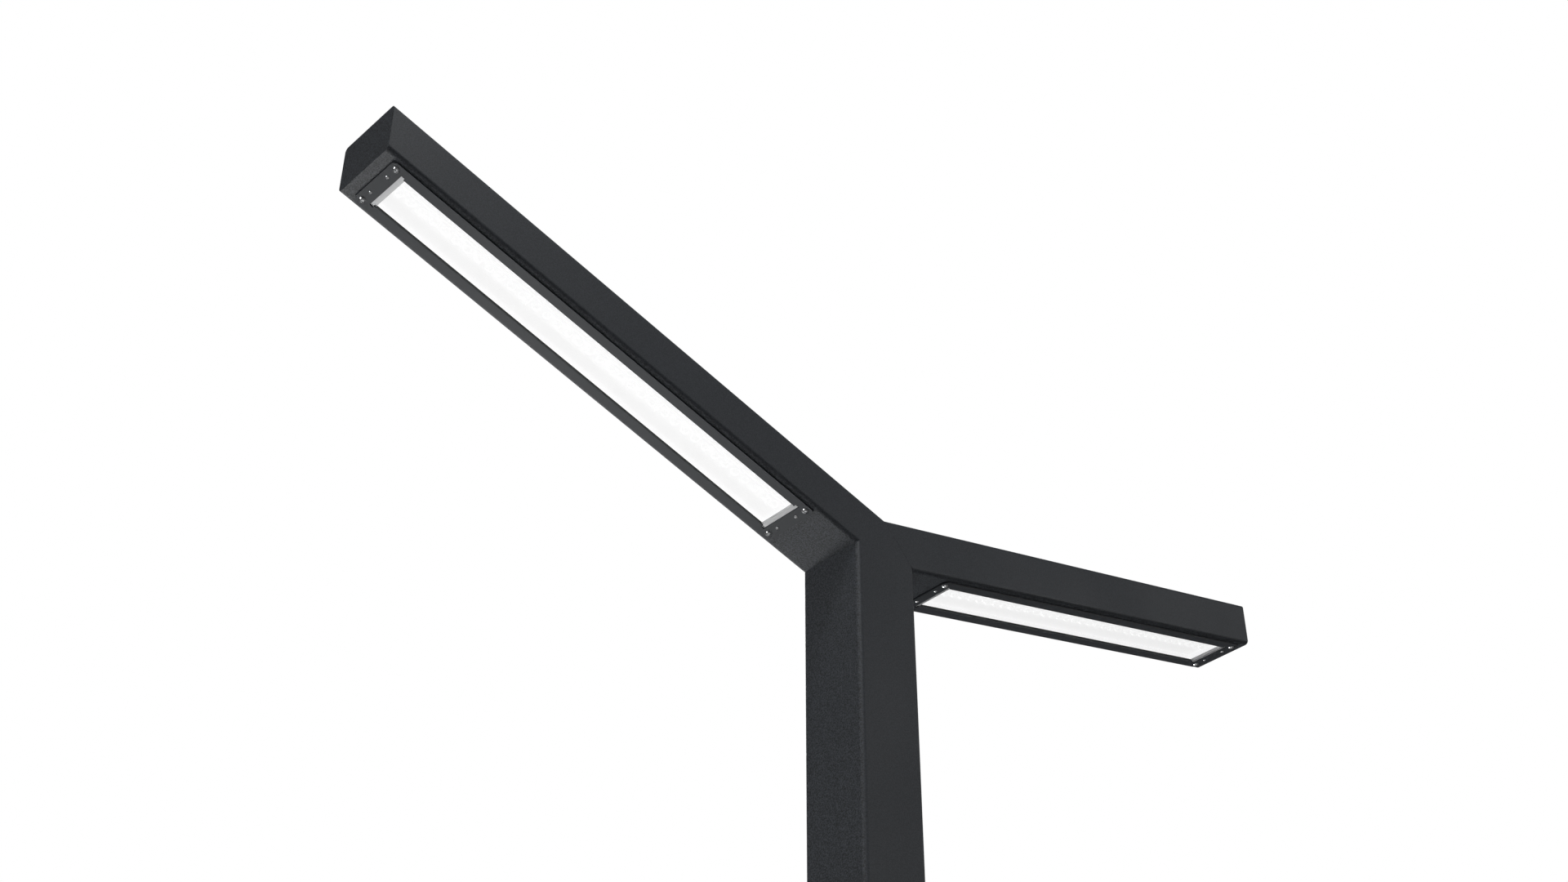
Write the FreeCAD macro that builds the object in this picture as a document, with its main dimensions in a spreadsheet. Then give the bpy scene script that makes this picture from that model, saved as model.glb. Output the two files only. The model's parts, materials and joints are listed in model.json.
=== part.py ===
"""Twin-arm LED light column: a square tube on a base plate, with two arms that rise from its head.

World frame: origin on the ground at the column's axis, +Z up, +X along the right arm, and -Y towards
the service door.

Each arm has a frame of its own. Its origin is the inner corner where the arm's underside meets the
column, its x runs out along the underside and its z goes straight into the arm. The window cassette
has the same directions, with its origin at the middle of the window.
"""
import FreeCAD, Part
import math
import os
import re
import Sketcher

SIZES = [
    # column and head
    ("shaft_height", 3680, "ground to the inner corner under each arm"),
    ("splice_height", 1000, "ground to the weld that joins the column's two lengths of tube"),
    ("column_side", 120, "outside width of the column, and width of the arms"),
    ("tube_wall", 4, "wall of the column and arm tubes"),
    ("tube_corner", 7, "outside corner radius of the tubes"),
    ("arm_depth", 80, "arm height, square to its underside"),
    ("arm_slope", 15, "rise of the arms in degrees"),
    ("arm_reach", 935, "column axis to the plumb end face"),
    ("cap_thickness", 4, "plate welded into the arm's end"),
    # foot
    ("base_side", 300, "side of the square base plate"),
    ("base_thickness", 15, "thickness of the base plate"),
    ("base_corner", 12, "corner radius of the base plate"),
    ("anchor_spacing", 220, "hole to hole, for the foundation's bolts"),
    ("anchor_hole", 22, "diameter of each anchor hole"),
    ("cable_hole", 80, "diameter of the hole for the ground cable"),
    # service door
    ("door_bottom", 500, "ground to the lower edge of the door opening"),
    ("door_height", 400, "height of the door opening"),
    ("door_width", 86, "width of the door opening"),
    ("door_corner", 12, "corner radius of the door opening"),
    ("door_gap", 1.5, "slot all round the leaf"),
    ("leaf_thickness", 3, "sheet of the door leaf"),
    ("frame_landing", 5.5, "how far the frame shows inside the opening"),
    ("frame_margin", 7, "how far the frame laps behind the tube wall"),
    ("frame_thickness", 3, "thickness of the door frame"),
    ("seal_inset", 1, "door seal edge to the opening edge"),
    # hinges
    ("hinge_barrel", 10, "barrel diameter"),
    ("hinge_half", 22, "height of one half of a hinge"),
    ("hinge_pin", 6, "pin diameter"),
    ("hinge_washer", 1, "thickness of the washer between the halves"),
    ("hinge_proud", 0.3, "gap between the barrel and the column face"),
    ("hinge_tab", 12, "width of the welded tab"),
    ("tab_thickness", 5, "thickness of the welded tab"),
    ("hinge_inset", 60, "end of the door opening to the nearer hinge"),
    ("run_clearance", 0.05, "radial running clearance"),
    ("thread_clearance", 0.05, "radial gap drawn round a plain thread"),
    # lock
    ("lock_edge", 23, "side of the door opening to the lock's axis"),
    ("lock_barrel", 20, "diameter of the lock body's barrel"),
    ("lock_flange", 28, "diameter of its outside flange"),
    ("flange_thickness", 2.5, "thickness of its outside flange"),
    ("key_well", 16, "diameter of the recess round the key"),
    ("key_depth", 5.5, "depth of that recess"),
    ("key_radius", 5, "corner radius of the triangular key head"),
    ("rotor_shaft", 10, "diameter of the rotor"),
    ("rotor_disc", 1.5, "thickness of the rotor's shoulder"),
    ("rotor_square", 7, "square end that carries the cam"),
    ("lock_nut", 24, "across flats"),
    ("nut_thickness", 3.8, "thickness of the lock nut"),
    ("cam_thickness", 3, "thickness of the cam"),
    ("cam_width", 16, "width of the cam"),
    ("cam_reach", 30, "rotor axis to the cam's tip"),
    ("cam_gap", 0.4, "frame to the turned cam"),
    # equipment behind the door
    ("rail_width", 40, "width of the equipment rail"),
    ("rail_length", 360, "length of the equipment rail"),
    ("rail_thickness", 3, "thickness of the equipment rail"),
    ("rail_boss", 6, "height of the boss under the rail"),
    ("boss_diameter", 16, "diameter of the boss under the rail"),
    ("rail_end", 15, "end of the rail to its stud"),
    ("box_width", 70, "width of the junction box"),
    ("box_height", 170, "height of the junction box"),
    ("box_depth", 42, "depth of the junction box without its lid"),
    ("box_rise", 140, "door opening's lower edge to the box"),
    ("box_wall", 2.5, "wall of the junction box"),
    ("lid_depth", 10, "depth of its lid"),
    ("post_inset", 7, "box edge to the lid screws"),
    ("post_diameter", 8, "posts that take the lid screws"),
    ("gland_offset", 15, "box middle to each riser cable"),
    ("gland_back", 27, "back of the box to the cable axes"),
    ("riser_cable", 7, "diameter of the cable to each arm"),
    ("riser_bend", 60, "bend radius of that cable at the head"),
    ("earth_cable", 5, "diameter of the earth lead"),
    ("earth_rise", 60, "door opening's lower edge to the earth stud"),
    # window cassette, under each arm
    ("plate_length", 806, "window plate, along the arm"),
    ("plate_width", 102, "window plate, across the arm"),
    ("plate_thickness", 2.5, "window plate"),
    ("plate_corner", 8, "corner radius of the window plate"),
    ("plate_seal", 0.5, "thickness of the seal under the plate"),
    ("plate_end_gap", 18, "arm's lower end edge to the plate"),
    ("window_margin", 22, "plate end to window end"),
    ("window_width", 69, "window, across the arm"),
    ("slot_length", 6, "widened end of the window, along the arm"),
    ("slot_width", 76, "widened end of the window, across the arm"),
    ("screw_edge", 10.5, "plate edges to the corner screws"),
    ("bar_screws", 40.4, "between the two small screws at each end"),
    ("opening_margin", 21, "plate end to the arm's cut-out"),
    ("opening_width", 84, "arm's cut-out, across the arm"),
    ("notch_margin", 5.8, "plate end to the cut-out's end notches"),
    ("notch_width", 56, "width of those notches"),
    ("seal_edge", 1, "plate edge to the seal's edge"),
    ("pane_depth", 3, "arm's underside to the pane"),
    ("pane_thickness", 4, "thickness of the pane"),
    ("pane_width", 82, "pane, across the arm"),
    ("pane_margin", 24, "plate end to the pane"),
    ("bar_lap", 8.3, "how far each end bar shows in the window"),
    ("bar_recess", 1.5, "plate face to the bar's rib"),
    ("bar_clear", 0.3, "bar's rib to the plate's slot"),
    ("strip_width", 5.5, "width of the seal strips along the pane"),
    ("board_depth", 12.5, "arm's underside to the LED boards"),
    ("board_length", 249.4, "one LED board"),
    ("board_pitch", 250, "from one LED board to the next"),
    ("board_width", 24, "one LED board"),
    ("board_thickness", 1.6, "one LED board"),
    ("lens_pitch", 20.4, "from one lens to the next"),
    ("lens_diameter", 13, "diameter of one lens"),
    ("lens_height", 4.5, "height of one lens"),
    ("tray_wall", 2, "sheet of the LED tray"),
    ("driver_length", 220, "length of the LED driver"),
    ("driver_width", 62, "width of the LED driver"),
    ("driver_height", 38, "height of the LED driver"),
    ("driver_ear", 14, "foot at each end of the driver"),
    ("driver_shift", 230, "window middle to driver middle, towards the column"),
    ("output_lead", 5, "diameter of the driver's output lead"),
    ("lead_reach", 25, "driver to the output lead's bend corner"),
    ("standoff_diameter", 7, "stand-offs between end bar and tray"),
    # fasteners: thread diameters
    ("thread_large", 6, "corner screws and studs"),
    ("thread_small", 3, "end bar and tray screws"),
    ("thread_medium", 4, "driver, lid and box screws"),
    ("thread_stud", 8, "earth stud"),
    ("large_play", 0.6, "hole over thread, for large screws"),
    ("small_play", 0.4, "hole over thread, for the other screws"),
    ("cord_play", 0.2, "gland bore over cable"),
    ("head_large", 10.5, "head diameter of the corner screws"),
    ("head_medium", 7.6, "head diameter of the driver, lid and box screws"),
    ("head_small", 5.7, "head diameter of the end bar and tray screws"),
    ("rise_large", 3.3, "head height of the corner screws"),
    ("rise_medium", 2.2, "head height of the medium screws"),
    ("rise_small", 1.65, "head height of the small screws"),
    ("socket_large", 4, "across flats of the corner screws' socket"),
    ("socket_medium", 2.5, "across flats of the medium screws' socket"),
    ("socket_small", 2, "across flats of the small screws' socket"),
    ("tamper_pin", 1.5, "diameter of the pin in the corner screws' socket"),
    ("weld_nut", 10, "side of each square weld nut"),
    ("weld_height", 5, "height of each square weld nut"),
    # glands, under their usual metric threads
    ("gland_hex", 6, "height of each gland's hexagon"),
    ("riser_thread", 16, "thread of the riser cables' glands"),
    ("riser_flats", 19, "across flats of the same"),
    ("riser_dome", 12, "length of the same's dome nut"),
    ("mains_thread", 20, "thread of the ground cable's gland"),
    ("mains_flats", 24, "across flats of the same"),
    ("mains_dome", 14, "length of the same's dome nut"),
    ("mains_bore", 12, "bore that waits for the ground cable"),
    ("earth_thread", 10, "thread of the earth lead's gland"),
    ("earth_flats", 14, "across flats of the same"),
    ("earth_dome", 9, "length of the same's dome nut"),
    # inside the junction box
    ("box_screw_edge", 8, "box edge to the screws that hold it"),
    ("way_pitch", 10, "from one terminal to the next"),
    ("terminal_depth", 20, "depth of the terminal block"),
    ("terminal_height", 28, "height of the terminal block"),
    ("terminal_rise", 16, "box's lower side to the terminal block"),
    ("wire_hole", 5, "terminal's hole for the wires"),
    ("clamp_hole", 5.5, "hole over each clamping screw"),
    ("din_rise", 82, "box's lower side to the DIN rail"),
    ("din_length", 60, "length of the DIN rail"),
    ("din_height", 35, "height of the DIN rail"),
    ("din_depth", 7.5, "depth of the DIN rail"),
    ("din_lip", 5, "each lip of the DIN rail"),
    ("din_sheet", 1, "sheet of the DIN rail"),
    ("carrier_width", 17.5, "width of a fuse carrier"),
    ("carrier_depth", 26, "depth of a fuse carrier"),
    ("carrier_height", 76, "height of a fuse carrier"),
    ("carrier_gap", 0.5, "between the two fuse carriers"),
    ("grip_depth", 4, "how far the grip stands out"),
    ("grip_height", 22, "height of the grip"),
    # earth stud and lug
    ("stud_boss", 14, "diameter of the boss under the stud"),
    ("boss_length", 5, "height of that boss"),
    ("stud_length", 24, "wall to the stud's tip"),
    ("lug_ring", 18, "diameter of the cable lug's ring"),
    ("lug_sheet", 3, "thickness of the lug"),
    ("lug_barrel", 8, "diameter of the lug's crimped barrel"),
    ("barrel_length", 14, "length of that barrel"),
    ("barrel_rise", 12, "stud to that barrel"),
    ("crimp_depth", 8, "how far the lead goes into the barrel"),
    ("washer_size", 17, "diameter of the washer"),
    ("washer_sheet", 1.6, "thickness of the washer"),
    ("stud_flats", 13, "across flats of the stud's nut"),
    ("stud_nut", 6.5, "height of the stud's nut"),
]

BOARDS = 3
WAYS = 5
LENSES_PER_BOARD = 12
SIDES = {"right": 1, "left": -1}
ENDS = (-1, 1)
HEX = 6

V = FreeCAD.Vector
doc = FreeCAD.newDocument("light_column")
sheet = doc.addObject("Spreadsheet::Sheet", "Sizes")
for row, (alias, number, meaning) in enumerate(SIZES, start=1):
    sheet.set(f"A{row}", alias)
    sheet.set(f"B{row}", str(number))
    sheet.setAlias(f"B{row}", alias)
    sheet.set(f"C{row}", meaning)
doc.recompute()

nodes = {}


def size(alias):
    """A size from the sheet, for the few shapes that are set in code."""
    return float(getattr(sheet, alias))


def bound(text):
    """An expression in terms of the sheet: every alias has an underscore, and nothing else has."""
    return re.sub(r"\b[a-z]+(?:_[a-z]+)+\b", lambda found: "Sizes." + found.group(0), text)


# ---- lengths that several pieces share, as expressions ----

SLOPE = "(arm_slope * 1 deg)"
HALF = "(column_side / 2)"
GABLE = f"((arm_depth - tube_wall) / cos{SLOPE} - {HALF} * tan{SLOPE})"
TUBE_UNDERSIDE = f"((arm_reach - {HALF} - cap_thickness) / cos{SLOPE})"
ARM_UNDERSIDE = f"((arm_reach - {HALF}) / cos{SLOPE})"
CASSETTE_AT = f"({ARM_UNDERSIDE} - plate_end_gap - plate_length / 2)"
DOOR_MIDDLE = "(door_bottom + door_height / 2)"
LOCK_X = "(door_width / 2 - lock_edge)"
HINGE_X = "(door_gap / 2 - door_width / 2)"
HINGE_Y = f"(-{HALF} - hinge_proud - hinge_barrel / 2)"
BOX_LOW = "(door_bottom + box_rise)"
RAIL_Y = f"({HALF} - tube_wall - rail_boss - rail_thickness)"
BOX_FRONT = f"({RAIL_Y} - box_depth)"
CABLE_Y = f"({RAIL_Y} - gland_back)"
EARTH_Z = "(door_bottom + earth_rise)"
SEAL_TOP = "(-plate_seal)"
PLATE_FACE = "(-plate_seal - plate_thickness)"
PANE_TOP = "(pane_depth + pane_thickness)"
TRAY_FLOOR = "(board_depth + board_thickness)"
TRAY_TOP = f"({TRAY_FLOOR} + tray_wall)"
WINDOW_END = "(plate_length / 2 - window_margin)"
OPENING_END = "(plate_length / 2 - opening_margin)"
NOTCH_END = "(plate_length / 2 - notch_margin)"
BAR_START = f"({WINDOW_END} - bar_lap)"
SCREW_X = "(plate_length / 2 - screw_edge)"
SCREW_Y = "(plate_width / 2 - screw_edge)"
CAM_Y = f"(tube_wall + frame_thickness + cam_gap - {HALF})"


# ---- small makers ----

def bind(item, prop, text):
    item.setExpression(prop, bound(text))


def shift(item, at):
    for letter, text in zip("xyz", at):
        bind(item, f"Placement.Base.{letter}", text)


def block(name, extent, low):
    """A box from its three lengths and its lowest corner."""
    item = doc.addObject("Part::Box", name)
    for prop, text in zip(("Length", "Width", "Height"), extent):
        bind(item, prop, text)
    shift(item, low)
    return item


def middle_block(name, length, width, height, x, low_z):
    """A box centred on x and on y = 0, standing on low_z."""
    return block(name, (length, width, height), (f"{x} - ({length}) / 2", f"-({width}) / 2", low_z))


TURNS = {
    "z": FreeCAD.Rotation(),
    "x": FreeCAD.Rotation(V(0, 1, 0), 90),
    "y": FreeCAD.Rotation(V(1, 0, 0), -90),
}


def rod(name, diameter, length, start, axis="z"):
    """A cylinder that runs along +axis from its start."""
    item = doc.addObject("Part::Cylinder", name)
    item.Placement = FreeCAD.Placement(V(), TURNS[axis])
    bind(item, "Radius", f"({diameter}) / 2")
    bind(item, "Height", length)
    shift(item, start)
    return item


def prism(name, sides, corner, length, start, axis="z"):
    """A regular prism that runs along +axis; corner is the radius of its corners."""
    item = doc.addObject("Part::Prism", name)
    item.Polygon = sides
    item.Placement = FreeCAD.Placement(V(), TURNS[axis])
    bind(item, "Circumradius", corner)
    bind(item, "Height", length)
    shift(item, start)
    return item


def join(name, parts):
    item = doc.addObject("Part::MultiFuse", name)
    item.Shapes = parts
    return item


def cut(name, base, cutters):
    """Base less all the cutters."""
    item = doc.addObject("Part::Cut", name)
    item.Base = base
    item.Tool = cutters[0] if len(cutters) == 1 else join(name + "_cutters", cutters)
    return item


def overlap(name, first, second):
    item = doc.addObject("Part::Common", name)
    item.Base = first
    item.Tool = second
    return item


def group(name, parts):
    """Separate solids that share one node."""
    item = doc.addObject("Part::Compound", name)
    item.Links = parts
    return item


def new_sketch(name, plane, offset):
    body = doc.addObject("PartDesign::Body", name)
    sketch = body.newObject("Sketcher::SketchObject", name + "_sketch")
    flat = [item for item in body.Origin.OriginFeatures if item.Role == plane + "_Plane"][0]
    sketch.AttachmentSupport = [(flat, "")]
    sketch.MapMode = "FlatFace"
    bind(sketch, "AttachmentOffset.Base.z", offset)
    return body, sketch


def constrain(sketch, kind, places, start, text):
    """A dimension that starts at the drawn value and then follows the sheet."""
    index = sketch.addConstraint(Sketcher.Constraint(kind, *places, start))
    sketch.setExpression(f"Constraints[{index}]", bound(text))


def rounded_rectangle(sketch, outline, centre):
    """Four lines and four tangent arcs: outline is length, width and corner radius."""
    length, width, radius = outline
    x, y, r = 50.0, 30.0, 8.0
    first = sketch.GeometryCount
    corners = [(x - r, r - y), (x - r, y - r), (r - x, y - r), (r - x, r - y)]
    lines = [(V(r - x, -y), V(x - r, -y)), (V(x, r - y), V(x, y - r)),
             (V(x - r, y), V(r - x, y)), (V(-x, y - r), V(-x, r - y))]
    for step, ((a, b), (cx, cy)) in enumerate(zip(lines, corners)):
        turn = (step - 1) * math.pi / 2
        circle = Part.Circle(V(cx, cy), V(0, 0, 1), r)
        sketch.addGeometry(Part.LineSegment(a, b))
        sketch.addGeometry(Part.ArcOfCircle(circle, turn, turn + math.pi / 2))
    for step in range(8):
        following = first + (step + 1) % 8
        sketch.addConstraint(Sketcher.Constraint("Tangent", first + step, 2, following, 1))
    for step, kind in ((0, "Horizontal"), (4, "Horizontal"), (2, "Vertical"), (6, "Vertical")):
        sketch.addConstraint(Sketcher.Constraint(kind, first + step))
    for step in (3, 5, 7):
        sketch.addConstraint(Sketcher.Constraint("Equal", first + 1, first + step))
    bottom, right = first, first + 2
    constrain(sketch, "Radius", (first + 1,), r, radius)
    constrain(sketch, "DistanceX", (bottom, 1, bottom, 2), 2 * (x - r), f"{length} - 2 * ({radius})")
    constrain(sketch, "DistanceY", (right, 1, right, 2), 2 * (y - r), f"{width} - 2 * ({radius})")
    constrain(sketch, "DistanceX", (-1, 1, bottom, 2), x - r, f"{centre[0]} + ({length}) / 2 - ({radius})")
    constrain(sketch, "DistanceY", (-1, 1, right, 2), y - r, f"{centre[1]} + ({width}) / 2 - ({radius})")


def slab(name, plane, offset, thickness, outer, inner=None, centre=("0", "0"), both=False):
    """A rounded rectangle, solid or a ring, padded along its plane's normal (-Y for the XZ plane)."""
    body, sketch = new_sketch(name, plane, offset)
    rounded_rectangle(sketch, outer, centre)
    if inner:
        rounded_rectangle(sketch, inner, centre)
    return pad(body, sketch, thickness, both)


def pad(body, sketch, thickness, both):
    feature = body.newObject("PartDesign::Pad", body.Name + "_pad")
    feature.Profile = sketch
    if both:
        feature.SideType = "Symmetric"
    bind(feature, "Length", thickness)
    return body


def profile(name, corners, thickness):
    """A straight-sided outline in the XZ plane, padded both ways from it."""
    body, sketch = new_sketch(name, "XZ", "0 * column_side")
    count = len(corners)
    drawn = [V(50 * math.cos(2 * math.pi * k / count), 50 * math.sin(2 * math.pi * k / count))
             for k in range(count)]
    for k in range(count):
        sketch.addGeometry(Part.LineSegment(drawn[k], drawn[(k + 1) % count]))
    for k in range(count):
        sketch.addConstraint(Sketcher.Constraint("Coincident", k, 2, (k + 1) % count, 1))
    for k, (x, y) in enumerate(corners):
        constrain(sketch, "DistanceX", (-1, 1, k, 1), drawn[k].x, x)
        constrain(sketch, "DistanceY", (-1, 1, k, 1), drawn[k].y, y)
    return pad(body, sketch, thickness, True)


def node(item, label):
    item.Label = label
    nodes[label] = item
    return item


def in_arm(item, side, along):
    """Puts a piece that is drawn in an arm's or a cassette's frame into the world."""
    sign = SIDES[side]
    turn = "create(<<rotation>>; create(<<vector>>; 0; 1; 0); -arm_slope)"
    if sign < 0:
        turn = f"create(<<rotation>>; create(<<vector>>; 0; 0; 1); 180) * {turn}"
    spot = (f"create(<<vector>>; {sign} * ({HALF} + {along} * cos{SLOPE}); 0; "
            f"shaft_height + {along} * sin{SLOPE})")
    bind(item, "Placement", f"create(<<placement>>; {spot}; {turn})")
    return item


def scatter(label, master, places):
    """One node of identical pieces: a copy of the master's solid at each placement."""
    copies = []
    for place in places:
        solid = master.Shape.copy()
        solid.Placement = place.multiply(solid.Placement)
        copies.append(solid)
    item = doc.addObject("Part::Feature", label)
    item.Shape = Part.makeCompound(copies)
    return node(item, label)


def button_screw(name, thread, shank, kind, pin=None):
    """A dome-headed screw: the head goes up to -z from its seat at 0, and the shank goes to +z.

    kind names its head's sizes, and pin the diameter of a security pin in its hexagon socket.
    """
    head, rise, socket = "head_" + kind, "rise_" + kind, "socket_" + kind
    dome = doc.addObject("Part::Sphere", name + "_dome")
    radius = f"(({head} ^ 2 / 4 + {rise} ^ 2) / (2 * {rise}))"
    bind(dome, "Radius", radius)
    shift(dome, ("0", "0", f"{radius} - {rise}"))
    cap = overlap(name + "_cap", dome, rod(name + "_rim", head, rise, ("0", "0", f"-{rise}")))
    stem = rod(name + "_stem", thread, shank, ("0", "0", "0"))
    depth = f"0.62 * {rise}"
    hollow = prism(name + "_socket", HEX, f"{socket} / 2 / cos(30 deg)", depth, ("0", "0", f"-{rise}"))
    if pin:
        post = rod(name + "_pin", pin, depth, ("0", "0", f"-{rise}"))
        hollow = cut(name + "_key", hollow, [post])
    return cut(name, join(name + "_blank", [cap, stem]), [hollow])


def tube_path(corners, bend):
    """Straight runs joined by tangent arcs of one radius."""
    edges = []
    start = corners[0]
    for before, corner, after in zip(corners, corners[1:], corners[2:]):
        inward = (before - corner).normalize()
        outward = (after - corner).normalize()
        half_angle = inward.getAngle(outward) / 2
        reach = bend / math.tan(half_angle)
        first, last = corner + inward * reach, corner + outward * reach
        centre = corner + (inward + outward).normalize() * (bend / math.sin(half_angle))
        mid = centre + (corner - centre).normalize() * bend
        edges.append(Part.LineSegment(start, first).toShape())
        edges.append(Part.Arc(first, mid, last).toShape())
        start = last
    edges.append(Part.LineSegment(start, corners[-1]).toShape())
    return Part.Wire(edges)


def cable(label, corners, diameter, bend):
    """A round cable along its path, as one closed solid."""
    path = tube_path(corners, bend)
    ring = Part.Wire(Part.Circle(corners[0], corners[1] - corners[0], diameter / 2).toShape())
    item = doc.addObject("Part::Feature", label)
    item.Shape = path.makePipeShell([ring], True, False)
    return node(item, label)


# ---- foot and column ----

def make_base_plate():
    blank = slab("base_blank", "XY", "0 * base_side", "base_thickness",
                 ("base_side", "base_side", "base_corner"))
    holes = [rod("cable_entry_cutter", "cable_hole", "base_thickness", ("0", "0", "0"))]
    for x in ENDS:
        for y in ENDS:
            holes.append(rod("anchor_cutter", "anchor_hole", "base_thickness",
                             (f"{x} * anchor_spacing / 2", f"{y} * anchor_spacing / 2", "0")))
    node(cut("base_plate_cut", blank, holes), "base_plate")


def make_column_tube():
    """Two lengths of square tube, butt-welded above the door and ground flush. The head is
    gabled, so that each arm meets it on a sloping mitre."""
    section = (("column_side", "column_side", "tube_corner"),
               ("column_side - 2 * tube_wall", "column_side - 2 * tube_wall", "tube_corner - tube_wall"))
    foot = slab("foot_blank", "XY", "base_thickness", "splice_height - base_thickness", *section)
    shaft = slab("shaft_blank", "XY", "splice_height", f"shaft_height + {GABLE}", *section)
    shoulder = f"shaft_height - {GABLE} / 2"
    outside = f"1.5 * {HALF}"
    gable = profile("gable", [(f"-{outside}", "0 * column_side"), (outside, "0 * column_side"),
                              (outside, shoulder), ("0 * column_side", f"shaft_height + {GABLE}"),
                              (f"-{outside}", shoulder)], "2 * column_side")
    opening = slab("door_cutter", "XZ", f"{HALF} - 2 * tube_wall", "3 * tube_wall",
                   ("door_width", "door_height", "door_corner"), centre=("0", DOOR_MIDDLE))
    node(group("column_lengths", [cut("foot_cut", foot, [opening]),
                                  overlap("column_head", shaft, gable)]), "column_tube")


def make_door():
    """The frame behind the opening, its seal, and the leaf that closes flush with the column."""
    opening = ("door_width", "door_height", "door_corner")
    landing = tuple(f"{text} - {factor} * frame_landing" for text, factor in zip(opening, (2, 2, 1)))
    behind = tuple(f"{text} + {factor} * frame_margin" for text, factor in zip(opening, (2, 2, 1)))
    seal = tuple(f"{text} - {factor} * seal_inset" for text, factor in zip(opening, (2, 2, 1)))
    seal_hole = tuple(f"{text} + {factor} * seal_inset / 2" for text, factor in zip(landing, (2, 2, 1)))
    leaf = tuple(f"{text} - {factor} * door_gap" for text, factor in zip(opening, (2, 2, 1)))
    middle = ("0", DOOR_MIDDLE)
    inner_wall = f"{HALF} - tube_wall"
    node(slab("door_frame_ring", "XZ", f"{inner_wall} - frame_thickness", "frame_thickness", behind,
              landing, centre=middle), "door_frame")
    node(slab("door_seal_ring", "XZ", inner_wall, "tube_wall - leaf_thickness", seal, seal_hole,
              centre=middle), "door_seal")
    blank = slab("leaf_blank", "XZ", f"{HALF} - leaf_thickness", "leaf_thickness", leaf, centre=middle)
    hole = rod("leaf_lock_cutter", "lock_barrel + 4 * run_clearance", "3 * leaf_thickness",
               (LOCK_X, f"-{HALF} - leaf_thickness", DOOR_MIDDLE), "y")
    node(cut("leaf_cut", blank, [hole]), "door_leaf")


def make_hinges():
    """Two lift-off hinges. The lower half is welded to the column and holds the pin."""
    column_halves, door_halves, washers = [], [], []
    lows = ("door_bottom + hinge_inset",
            "door_bottom + door_height - hinge_inset - 2 * hinge_half - hinge_washer")
    tab_low = f"-{HALF} - tab_thickness"
    edge = "hinge_proud + door_gap / 2"
    for low in lows:
        washer_low = f"{low} + hinge_half"
        upper_low = f"{washer_low} + hinge_washer"
        barrel = rod("hinge_lower", "hinge_barrel", "hinge_half", (HINGE_X, HINGE_Y, low))
        tab = block("hinge_lower_tab", ("hinge_tab", "tab_thickness", "hinge_half"),
                    (f"{HINGE_X} - {edge} - hinge_tab", tab_low, low))
        neck = block("hinge_lower_neck", (edge, "tab_thickness - hinge_proud", "hinge_half"),
                     (f"{HINGE_X} - {edge}", tab_low, low))
        pin = rod("hinge_pin_rod", "hinge_pin", "2 * hinge_half + hinge_washer - 2",
                  (HINGE_X, HINGE_Y, low))
        column_halves.append(join("hinge_column_half", [barrel, tab, neck, pin]))
        ring = rod("hinge_washer_disc", "hinge_barrel", "hinge_washer", (HINGE_X, HINGE_Y, washer_low))
        washers.append(cut("hinge_washer_ring", ring, [
            rod("washer_bore", "hinge_pin + 2 * run_clearance", "hinge_washer",
                (HINGE_X, HINGE_Y, washer_low))]))
        upper = rod("hinge_upper", "hinge_barrel", "hinge_half", (HINGE_X, HINGE_Y, upper_low))
        upper_tab = block("hinge_upper_tab", ("hinge_tab", "tab_thickness", "hinge_half"),
                          (f"{HINGE_X} + {edge}", tab_low, upper_low))
        upper_neck = block("hinge_upper_neck", (edge, "tab_thickness - hinge_proud", "hinge_half"),
                           (HINGE_X, tab_low, upper_low))
        bore = rod("hinge_bore", "hinge_pin + 2 * run_clearance", "hinge_half - 1",
                   (HINGE_X, HINGE_Y, upper_low))
        door_halves.append(cut("hinge_door_half",
                               join("hinge_door_blank", [upper, upper_tab, upper_neck]), [bore]))
    node(group("column_halves", column_halves), "hinge_column_halves")
    node(group("door_halves", door_halves), "hinge_door_halves")
    node(group("washers", washers), "hinge_washers")


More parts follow.
